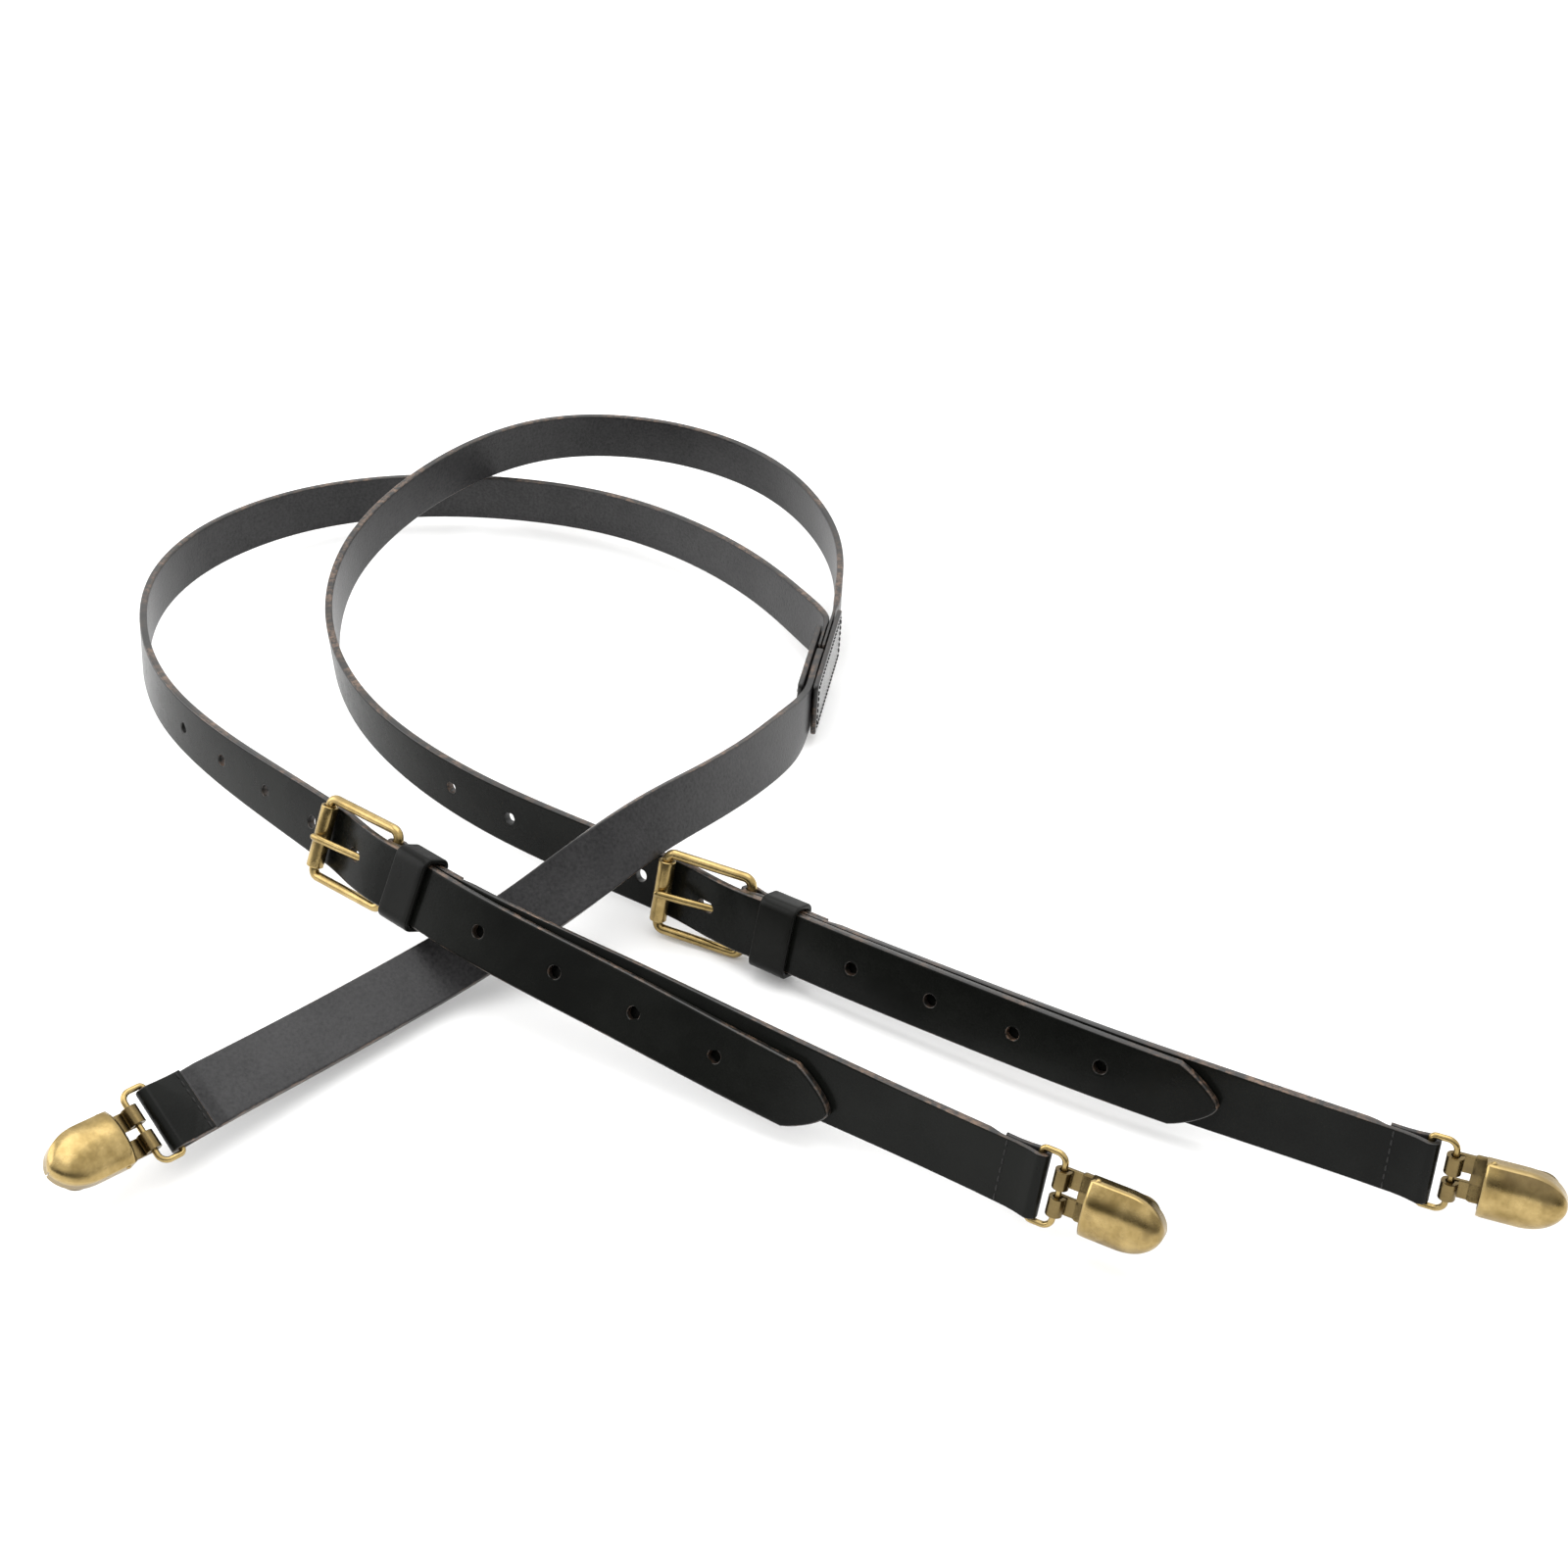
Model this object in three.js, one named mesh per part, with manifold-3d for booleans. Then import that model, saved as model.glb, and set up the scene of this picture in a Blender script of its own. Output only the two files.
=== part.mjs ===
// Leather suspenders with a Y joint at the back: two long front straps with punched holes, two short
// lower straps, one back strap, two roller buckles and three sprung clips. Millimetres, +Z up. The
// straps lie on the plane z = 0 as they were put down, standing on their edges in two open loops.
import * as THREE from "three";
import { mergeVertices } from "three/addons/utils/BufferGeometryUtils.js";
import Module from "manifold-3d";

const wasm = await Module();
wasm.setup();

// ---- Driving dimensions ----
const clearance = 0.3;

const strapWidth = 20;
const strapThickness = 2.8;
const holeRadius = 1.9;
const holesBeforeProng = 4;
const holesAfterProng = 5;
const tipLength = 13;

const foldThickness = 1.5; // of the leather where it is thinned to fold round a bar

const patchMargin = 1; // of the patch beyond each edge of the strap
const patchWidth = strapWidth + 2 * patchMargin;
const innerPatchShort = 13; // the inner patch ends before the strap that turns away there
const patchThickness = 2;
const patchCorner = 2;
const patchGap = 0.5;

const frameWire = 1.6; // radius of the buckle's wire
const frameLength = 30; // heel bar to roller bar
const frameSlack = 1.6; // between the strap's edge and the wire
const frameHalfWidth = strapWidth / 2 + frameSlack + frameWire;
const rollerCorner = 2.4;
const heelCorner = 3;
const rollerWall = 0.9;
const rollerLength = 2 * (frameHalfWidth - rollerCorner - clearance);
const prongRadius = 1.1;
const prongHoleToHeel = 13.2;
const prongSwing = 3; // degrees that the prong lifts off the roller
const frameSwing = 3; // degrees that the buckle lifts off the strap
const heelFlap = 28;

const keeperWidth = 13;
const keeperThickness = 1.8;
const keeperPlay = 0.9;

const loopWire = 0.9; // radius of the clip's wire
const loopDepth = 7; // bar to bar
const loopSlack = 0.4; // between the strap's edge and the wire
const loopHalfWidth = strapWidth / 2 + loopSlack + loopWire;
const loopCorner = 2.8;
const loopStrapCorner = 1.2; // tighter, to leave the bar straight over the strap's width
const loopFlap = 11;

const sheet = 1.2; // thickness of the clip's base
const neckInset = 1.5; // from the end of the bar's straight length to the edge of the neck
const neckWidth = 2 * (loopHalfWidth - loopCorner - neckInset);
const baseWidth = 15;
const baseLength = 27.4;
const notchWidth = 2.8;
const coverRear = 8; // from the wire's outer bar
const coverLength = 22;
const coverWidth = 16.6;
const coverHeight = 6;
const coverShoulder = 3.2;
const coverWall = 0.9;
const pinRadius = 0.8;
const pinAlong = 9.8;
const pinUp = 1.2;
const earRadius = 1.5;
const jawLength = 13;
const jawThickness = 0.9;
const padLength = 10;
const toothCount = 5;

// ---- Routes ----
// Each route runs along the middle of the leather, from the back patch to the clip. A point is
// x, y, z and the lean of the strap's width from upright, in degrees, outwards from the loop.
const heightScale = strapWidth / 20; // the heights below belong to a strap 20 wide
const raised = (route) => route.map(([x, y, z, lean]) => [x, y, z * heightScale, lean]);
const leftRoute = raised([
  [13.6, 61.5, 11.3, 3], [15, 69.5, 11.3, 3], [16.1, 75.8, 11.3, 3], [16.5, 81.2, 11.3, 4],
  [14.6, 86.4, 11.4, 7], [9.8, 95.2, 11.2, 9], [3.2, 107.6, 10.8, 8], [-8.2, 127.2, 10.4, 6],
  [-38.5, 163, 10.3, 1], [-76.5, 190, 10.3, -1], [-121, 204.5, 10.2, -1], [-167.5, 206.5, 10.2, 0],
  [-211, 191, 10.7, 0], [-241, 156, 12.4, -2], [-250.5, 110.5, 15.1, -5], [-242.5, 65, 17.6, -7],
  [-223, 22.5, 19.6, -9], [-194, -14, 20.8, -13], [-160.4, -48.6, 23.1, -22],
  [-126.6, -82.4, 25.4, -29], [-89.9, -111.2, 24.2, -33], [-49.8, -133.7, 19.5, -33],
  [-10, -156.5, 15.2, -27], [29.9, -180.6, 13, -17], [69.6, -206.4, 12.5, -17],
]);
const rightRoute = raised([
  [13.6, 61.5, 11.3, 3], [16, 75, 11.3, 3], [18.3, 88, 11.3, 3], [20.8, 106, 11, 3],
  [22, 145, 11, 1], [12, 186, 12.3, -1], [-13, 222.6, 15.3, -2], [-52.6, 240.6, 20.4, -3],
  [-97.1, 230.9, 27.5, -4], [-132.4, 199.1, 31.4, -4], [-156.6, 164.7, 29.6, -5],
  [-173, 128.1, 24, -3], [-175.3, 86.9, 18.3, 1], [-163, 44.5, 14.6, 1], [-138, 5, 13.4, -2],
  [-104, -27.5, 12, -9], [-65, -54, 10.5, -15], [-25.5, -79.5, 10, -18], [13.5, -106, 10.2, -21],
  [53, -131.5, 10.8, -21], [93, -156, 11.4, -18], [135, -178.5, 11.5, -12], [175.7, -201.7, 13, -9],
]);
const backRoute = raised([
  [13.1, 58.5, 11.3, -3], [10.7, 45, 11.3, -3], [8.2, 31, 11.3, -3], [1, 6, 16.2, 12],
  [-11.3, -21.4, 22.5, 18], [-26.6, -45.6, 27.4, 21], [-43.6, -67.8, 30.7, 28],
  [-59.8, -83.8, 27.7, 42], [-79.7, -94, 17.1, 55], [-101.3, -105.3, 7.9, 58],
  [-121.5, -124, 6.7, 59], [-140, -142.5, 7.2, 60], [-158, -162.5, 9.6, 60], [-175.5, -182, 12, 55],
]);
const patchFrom = new THREE.Vector3(8.2, 31, 11.3 * heightScale);
const patchTo = new THREE.Vector3(18.3, 88, 11.3 * heightScale);
const patchLean = 3;

// Where things sit along a lower strap, measured back from the fold at the clip.
const lower = {
  left: { heelToEnd: 230, keeperFromHeel: 6.4, holePitch: 28.2, lastHoleToTip: 38, tailDrop: 5.4 },
  right: { heelToEnd: 219.3, keeperFromHeel: 7.4, holePitch: 27.6, lastHoleToTip: 35, tailDrop: 0.6 },
};
// How the wire loop hangs from its strap, and the clip from its loop, in degrees.
const hang = {
  left: { loop: 5, clip: 1 },
  right: { loop: 4, clip: 4 },
  back: { loop: -4, clip: -6 },
};

// ---- Curves ----
// Natural cubic spline through the values, one at each place.
function spline(places, values) {
  const last = places.length - 1;
  const bend = new Array(last + 1).fill(0);
  const carry = new Array(last + 1).fill(0);
  const slope = (i) => (values[i + 1] - values[i]) / (places[i + 1] - places[i]);
  for (let i = 1; i < last; i++) {
    const both = places[i + 1] - places[i - 1];
    const share = (places[i] - places[i - 1]) / both;
    const pivot = share * bend[i - 1] + 2;
    bend[i] = (share - 1) / pivot;
    carry[i] = ((6 * (slope(i) - slope(i - 1))) / both - share * carry[i - 1]) / pivot;
  }
  bend[last] = 0;
  for (let i = last - 1; i >= 0; i--) bend[i] = bend[i] * bend[i + 1] + carry[i];
  return (x) => {
    let i = 0;
    while (i < last - 1 && x > places[i + 1]) i++;
    const span = places[i + 1] - places[i];
    const b = (x - places[i]) / span;
    const a = 1 - b;
    const curve = ((a ** 3 - a) * bend[i] + (b ** 3 - b) * bend[i + 1]) * span ** 2;
    return a * values[i] + b * values[i + 1] + curve / 6;
  };
}

// A strap's route, measured along its length. At a place there are three directions: along the
// strap, across it (up when the strap stands on its edge) and out of its grain side.
class Route {
  constructor(points) {
    const chord = [0];
    for (let i = 1; i < points.length; i++) {
      const step = Math.hypot(...[0, 1, 2].map((k) => points[i][k] - points[i - 1][k]));
      chord.push(chord[i - 1] + step);
    }
    const parts = [0, 1, 2, 3].map((k) => spline(chord, points.map((p) => p[k])));
    this.point = (u) => new THREE.Vector3(parts[0](u), parts[1](u), parts[2](u));
    this.lean = (u) => THREE.MathUtils.degToRad(parts[3](u));
    const steps = points.length * 20;
    this.walk = [{ u: 0, length: 0 }];
    for (let i = 1; i <= steps; i++) {
      const before = this.walk[i - 1];
      const u = (chord.at(-1) * i) / steps;
      const length = before.length + this.point(u).distanceTo(this.point(before.u));
      this.walk.push({ u, length });
    }
    this.length = this.walk.at(-1).length;
  }

  frame(s) {
    let i = 0;
    while (i < this.walk.length - 2 && this.walk[i + 1].length < s) i++;
    const [low, high] = [this.walk[i], this.walk[i + 1]];
    const u = low.u + ((s - low.length) / (high.length - low.length)) * (high.u - low.u);
    const nudge = 0.01;
    const along = this.point(u + nudge).sub(this.point(u - nudge)).normalize();
    const side = along.clone().cross(new THREE.Vector3(0, 0, 1)).normalize();
    const up = side.clone().cross(along);
    const across = up.multiplyScalar(Math.cos(this.lean(u)));
    across.addScaledVector(side, Math.sin(this.lean(u)));
    return { centre: this.point(u), along, across, out: along.clone().cross(across) };
  }

  at(s, across, out) {
    const f = this.frame(s);
    return f.centre.addScaledVector(f.across, across).addScaledVector(f.out, out);
  }
}

// ---- Solids ----
// A closed body through rings of points, which run counter-clockwise about the way they follow.
function skin(rings, closed = false) {
  const size = rings[0].length;
  const geometry = new THREE.BufferGeometry().setFromPoints(rings.flat());
  const faces = [];
  const joins = closed ? rings.length : rings.length - 1;
  for (let i = 0; i < joins; i++) {
    const near = i * size;
    const far = ((i + 1) % rings.length) * size;
    for (let j = 0; j < size; j++) {
      const k = (j + 1) % size;
      faces.push(near + j, near + k, far + k, near + j, far + k, far + j);
    }
  }
  const end = (rings.length - 1) * size;
  for (let j = 1; j < size - 1 && !closed; j++) {
    faces.push(0, j + 1, j, end, end + j, end + j + 1);
  }
  return geometry.setIndex(faces);
}

function solid(geometry) {
  const bare = geometry.clone();
  bare.deleteAttribute("normal");
  bare.deleteAttribute("uv");
  const merged = mergeVertices(bare, 1e-4);
  const vertProperties = new Float32Array(merged.attributes.position.array);
  const triVerts = new Uint32Array(merged.index.array);
  return new wasm.Manifold(new wasm.Mesh({ numProp: 3, vertProperties, triVerts }));
}

function geometryOf(body) {
  const mesh = body.getMesh();
  const geometry = new THREE.BufferGeometry();
  geometry.setAttribute("position", new THREE.BufferAttribute(mesh.vertProperties, 3));
  return geometry.setIndex(new THREE.BufferAttribute(mesh.triVerts, 1));
}

function cut(geometry, ...cutters) {
  return geometryOf(cutters.reduce((body, cutter) => body.subtract(solid(cutter)), solid(geometry)));
}

function join(...geometries) {
  return geometryOf(geometries.map(solid).reduce((all, next) => all.add(next)));
}

function block(from, to) {
  const size = to.map((value, k) => value - from[k]);
  const middle = to.map((value, k) => (value + from[k]) / 2);
  return new THREE.BoxGeometry(...size).translate(...middle);
}

// A round bar along the local Y axis, centred on it.
function bar(radius, length, sides = 16) {
  return new THREE.CylinderGeometry(radius, radius, length, sides);
}

// A round wire along points in the local XY plane.
function wire(points, radius, sides, closed) {
  const last = points.length - 1;
  const rings = points.map((point, i) => {
    const before = closed ? points.at(i - 1) : points[Math.max(i - 1, 0)];
    const after = closed ? points[(i + 1) % points.length] : points[Math.min(i + 1, last)];
    const way = after.clone().sub(before).normalize();
    const inPlane = new THREE.Vector3(-way.y, way.x, 0);
    return Array.from({ length: sides }, (_, j) => {
      const turn = (2 * Math.PI * j) / sides;
      const ring = new THREE.Vector3(point.x, point.y, 0).addScaledVector(inPlane, radius * Math.cos(turn));
      return ring.setZ(radius * Math.sin(turn));
    });
  });
  return skin(rings, closed);
}

// A rectangle with round corners, as points, from its two opposite corners.
function roundedPath(left, right, low, high, corner, steps, leftCorner = corner) {
  const centres = [[right - corner, low + corner, corner], [right - corner, high - corner, corner]];
  centres.push([left + leftCorner, high - leftCorner, leftCorner]);
  centres.push([left + leftCorner, low + leftCorner, leftCorner]);
  return centres.flatMap(([x, y, radius], quarter) =>
    Array.from({ length: steps + 1 }, (_, i) => {
      const turn = (Math.PI / 2) * (quarter - 1 + i / steps);
      return new THREE.Vector2(x + radius * Math.cos(turn), y + radius * Math.sin(turn));
    }),
  );
}

// ---- Straps ----
// The side view of a strap is a list of places: how far along the route, how far out of it, and
// the thickness there. Lines and turns below give those places.
const line = (from, to, out, thickness = strapThickness, step = 9) => {
  const count = Math.max(1, Math.ceil(Math.abs(to - from) / step));
  return Array.from({ length: count + 1 }, (_, i) => ({ s: from + ((to - from) * i) / count, out, thickness }));
};

const turn = (s, out, radius, from, to, thickness, steps = 8) =>
  Array.from({ length: steps + 1 }, (_, i) => {
    const angle = THREE.MathUtils.degToRad(from + ((to - from) * i) / steps);
    return { s: s + radius * Math.cos(angle), out: out + radius * Math.sin(angle), thickness };
  });

// Lays a side view on a route: halfWidth gives half the strap's width at a place in the list.
function lay(route, view, halfWidth = () => strapWidth / 2, shift = () => 0) {
  const last = view.length - 1;
  const rings = view.map((place, i) => {
    const [before, after] = [view[Math.max(i - 1, 0)], view[Math.min(i + 1, last)]];
    const way = new THREE.Vector2(after.s - before.s, after.out - before.out).normalize();
    const [half, half2] = [halfWidth(place.s), place.thickness / 2];
    const corners = [[-half, -half2], [half, -half2], [half, half2], [-half, half2]];
    return corners.map(([across, thick]) =>
      route.at(place.s - way.y * thick, across + shift(place.s), place.out + way.x * thick),
    );
  });
  return skin(rings);
}

const layer = strapThickness + 1.5 * clearance; // middle to middle of two full layers
const settle = 7; // length over which two layers close up beyond a bar

// Where a strap is folded back on itself round a bar, the leather is thinned, so that the main
// layer and the flap below it are together about as thick as the strap.
const thinnedOut = (strapThickness - foldThickness) / 2;
const flapOut = thinnedOut - foldThickness - clearance;
const foldCentre = (thinnedOut + flapOut) / 2;
const foldRadius = (barRadius) => barRadius + 1.4 * clearance + foldThickness / 2;

function fold(barAt, barRadius, flap, way) {
  const to = (distance) => barAt + way * distance;
  const thin = (distance, out) => ({ s: to(distance), out, thickness: foldThickness });
  const round = turn(barAt, foldCentre, foldRadius(barRadius), 90, way < 0 ? -90 : 270, foldThickness);
  return [
    { s: to(flap + 5), out: 0, thickness: strapThickness },
    thin(flap + 1, thinnedOut),
    thin(settle, thinnedOut),
    ...round,
    thin(settle, flapOut),
    thin(flap, flapOut),
  ];
}
const foldOut = (barAt, barRadius, flap) => fold(barAt, barRadius, flap, -1);
const foldIn = (barAt, barRadius, flap) => fold(barAt, barRadius, flap, 1).reverse();

const pieces = new THREE.Group();

function add(parent, name, geometry, colour, roughness, metalness) {
  const material = new THREE.MeshStandardMaterial({ color: colour, roughness, metalness });
  const mesh = new THREE.Mesh(geometry, material);
  mesh.name = name;
  parent.add(mesh);
  return mesh;
}

const leather = [0x1c1d1b, 0.5, 0];
const brass = [0x7a6a38, 0.38, 1];
const rubber = [0x2a2a28, 0.8, 0];

// A group with its X along the strap, Y across it and Z out of it.
function station(parent, route, s, out) {
  const f = route.frame(s);
  const group = new THREE.Group();
  new THREE.Matrix4().makeBasis(f.along, f.across, f.out).setPosition(route.at(s, 0, out))
    .decompose(group.position, group.quaternion, group.scale);
  parent.add(group);
  return group;
}

function hole(route, s, out, radius) {
  const f = route.frame(s);
  const drill = new THREE.CylinderGeometry(radius, radius, strapThickness * 2, 12);
  drill.applyMatrix4(new THREE.Matrix4().makeBasis(f.across, f.out, f.along));
  const at = route.at(s, 0, out);
  return drill.translate(at.x, at.y, at.z);
}

// ---- Buckle ----
const rollerRadius = frameWire + clearance + rollerWall;
const rollerOut = strapThickness / 2 + 2.7 * clearance + rollerRadius;

// The prong in the frame's own directions: a ring round the heel bar, then a bar to the roller.
const prongRing = frameWire + 2 * clearance + prongRadius;
const strapOverHeel = foldCentre + prongRing + prongRadius + 0.5 * clearance + strapThickness / 2;
const prongPoints = [
  [0, -prongRing], [prongRing * 0.71, -prongRing * 0.71], [prongRing, 0],
  [prongRing * 0.71, prongRing * 0.71], [0, prongRing],
  [-6, 3.2], [-12.3, 3.3], [-18.5, 3.7], [-24, 4.2],
  [-frameLength, rollerRadius + 1.2 * clearance + prongRadius], [-frameLength - 1.8, rollerRadius + 1],
];
function prong(radius, sides) {
  const path = prongPoints.map(([x, z]) => new THREE.Vector3(x, z, 0));
  const standing = wire(path, radius, sides, false);
  return standing.applyMatrix4(new THREE.Matrix4().makeRotationX(Math.PI / 2));
}

function buckle(parent, route, heelAt, name) {
  const heelPoint = route.at(heelAt, 0, foldCentre);
  const rollerPoint = route.at(heelAt - frameLength, 0, rollerOut);
  const along = heelPoint.clone().sub(rollerPoint).normalize();
  const lean = route.frame(heelAt).across.add(route.frame(heelAt - frameLength).across);
  const out = along.clone().cross(lean).normalize();
  const heel = new THREE.Group();
  new THREE.Matrix4().makeBasis(along, out.clone().cross(along), out).setPosition(heelPoint)
    .decompose(heel.position, heel.quaternion, heel.scale);
  parent.add(heel);
  heel.updateMatrix();
  const outline = roundedPath(
    -frameLength, 0, -frameHalfWidth, frameHalfWidth, heelCorner, 3, rollerCorner);
  add(heel, "buckle_frame_" + name, wire(outline, frameWire, 8, true), ...brass);
  const wall = [[rollerRadius - rollerWall, -1], [rollerRadius, -1], [rollerRadius, 1], [rollerRadius - rollerWall, 1]];
  const profile = [...wall, wall[0]].map(([r, end]) => new THREE.Vector2(r, (end * rollerLength) / 2));
  const tube = add(heel, "buckle_roller_" + name, new THREE.LatheGeometry(profile, 16), ...brass);
  tube.position.x = -frameLength;
  add(heel, "buckle_prong_" + name, prong(prongRadius, 8), ...brass);
  return heel;
}

// ---- Clip ----
const curl = loopWire + clearance; // inside radius of the lugs that curl round the wire
const plateTop = -curl;
const plateBottom = -curl - sheet;

function clipBase() {
  const side = new THREE.Shape();
  side.moveTo(coverRear, plateBottom);
  side.lineTo(0, plateBottom);
  side.absarc(0, 0, -plateBottom, -Math.PI / 2, -Math.PI * 2.1, true);
  side.absarc(0, 0, curl, -Math.PI * 2.1, -Math.PI / 2, false);
  side.lineTo(coverRear, plateTop);
  const neck = new THREE.ExtrudeGeometry(side, { depth: neckWidth, bevelEnabled: false, curveSegments: 10 });
  neck.translate(0, 0, -neckWidth / 2).rotateX(Math.PI / 2);
  const plan = new THREE.Shape(roundedPath(coverRear - 1.5, baseLength, -baseWidth / 2, baseWidth / 2, 5, 4));
  const plate = new THREE.ExtrudeGeometry(plan, { depth: sheet, bevelEnabled: false });
  plate.translate(0, 0, plateBottom);
  const parts = [neck, plate];
  for (const way of [-1, 1]) {
    const y = way * (coverWidth / 2 - coverWall - 3 * clearance - sheet / 2);
    parts.push(bar(earRadius, sheet).translate(pinAlong, y, pinUp));
    parts.push(block([pinAlong - earRadius, y - sheet / 2, plateTop - sheet / 2], [pinAlong + earRadius, y + sheet / 2, pinUp]));
  }
  for (let i = 0; i < toothCount; i++) {
    const y = (i - (toothCount - 1) / 2) * 2;
    parts.push(block([baseLength - 1.9, y - 0.6, plateTop - sheet / 2], [baseLength - 0.8, y + 0.6, plateTop + 1.4]));
  }
  const notch = block([plateBottom - 1, -notchWidth / 2, plateBottom - 1], [4.5, notchWidth / 2, curl + sheet + 1]);
  const pinHole = bar(pinRadius + clearance, coverWidth * 1.5, 12).translate(pinAlong, 0, pinUp);
  return cut(join(...parts), notch, pinHole);
}

// The domed lever in its pin's directions, made smaller by inset on every side but the open one.
function dome(inset) {
  const rear = coverRear - pinAlong - (inset ? 1 : 0);
  const nose = coverRear + coverLength - pinAlong - inset;
  const rim = -pinUp - (inset ? 1 : 0);
  const straight = nose - coverLength * 0.46;
  const stations = [rear, (rear + straight) / 2, straight];
  for (const share of [0.3, 0.55, 0.74, 0.88, 0.96, 0.99]) stations.push(straight + (nose - straight) * share);
  const across = [0, 0.3, 0.55, 0.75, 0.9, 1];
  const rings = stations.map((x) => {
    const over = Math.max(0, (x - straight) / (nose - straight));
    const narrow = Math.sqrt(1 - over ** 2.2);
    const half = (coverWidth / 2 - inset) * narrow;
    const shoulder = coverShoulder * narrow ** 0.7;
    const rise = (coverHeight - coverShoulder) * narrow;
    const arch = across.map((v) => [v * half, rim + (inset ? 1 : 0) + shoulder + rise * (1 - v ** 2.6) - inset]);
    const right = [[half, rim], ...arch.slice().reverse()];
    const left = arch.slice(1).map(([y, z]) => [-y, z]);
    return [...right, ...left, [-half, rim]].map(([y, z]) => new THREE.Vector3(x, y, z));
  });
  return skin(rings);
}

function clip(strapEnd, name, tilt) {
  const loop = new THREE.Group();
  strapEnd.add(loop);
  loop.rotation.y = THREE.MathUtils.degToRad(tilt.loop);
  const outline = roundedPath(
    0, loopDepth, -loopHalfWidth, loopHalfWidth, loopCorner, 4, loopStrapCorner);
  add(loop, "clip_wire_" + name, wire(outline, loopWire, 8, true), ...brass);
  const body = new THREE.Group();
  loop.add(body);
  body.position.x = loopDepth;
  body.rotation.y = THREE.MathUtils.degToRad(tilt.clip);
  add(body, "clip_base_" + name, clipBase(), ...brass);
  const pin = add(body, "clip_pin_" + name, bar(pinRadius, coverWidth + 1, 12), ...brass);
  pin.position.set(pinAlong, 0, pinUp);
  const pinHole = bar(pinRadius + clearance, coverWidth * 1.5, 12);
  const cover = add(body, "clip_cover_" + name, cut(dome(0), dome(coverWall), pinHole), ...brass);
  cover.position.copy(pin.position);
  const jawAlong = pinAlong + earRadius + clearance;
  const jawUp = plateTop + 2.5;
  const jawHalf = coverWidth / 2 - coverWall - sheet - 3 * clearance;
  const jaw = add(body, "clip_jaw_" + name, block([0, -jawHalf, 0], [jawLength, jawHalf, jawThickness]), ...brass);
  jaw.position.set(jawAlong, 0, jawUp);
  const padFrom = [jawLength - padLength, -jawHalf + 0.5, plateTop + clearance - jawUp];
  const pad = add(body, "clip_pad_" + name, block(padFrom, [jawLength, jawHalf - 0.5, -clearance]), ...rubber);
  pad.position.copy(jaw.position);
}

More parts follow.
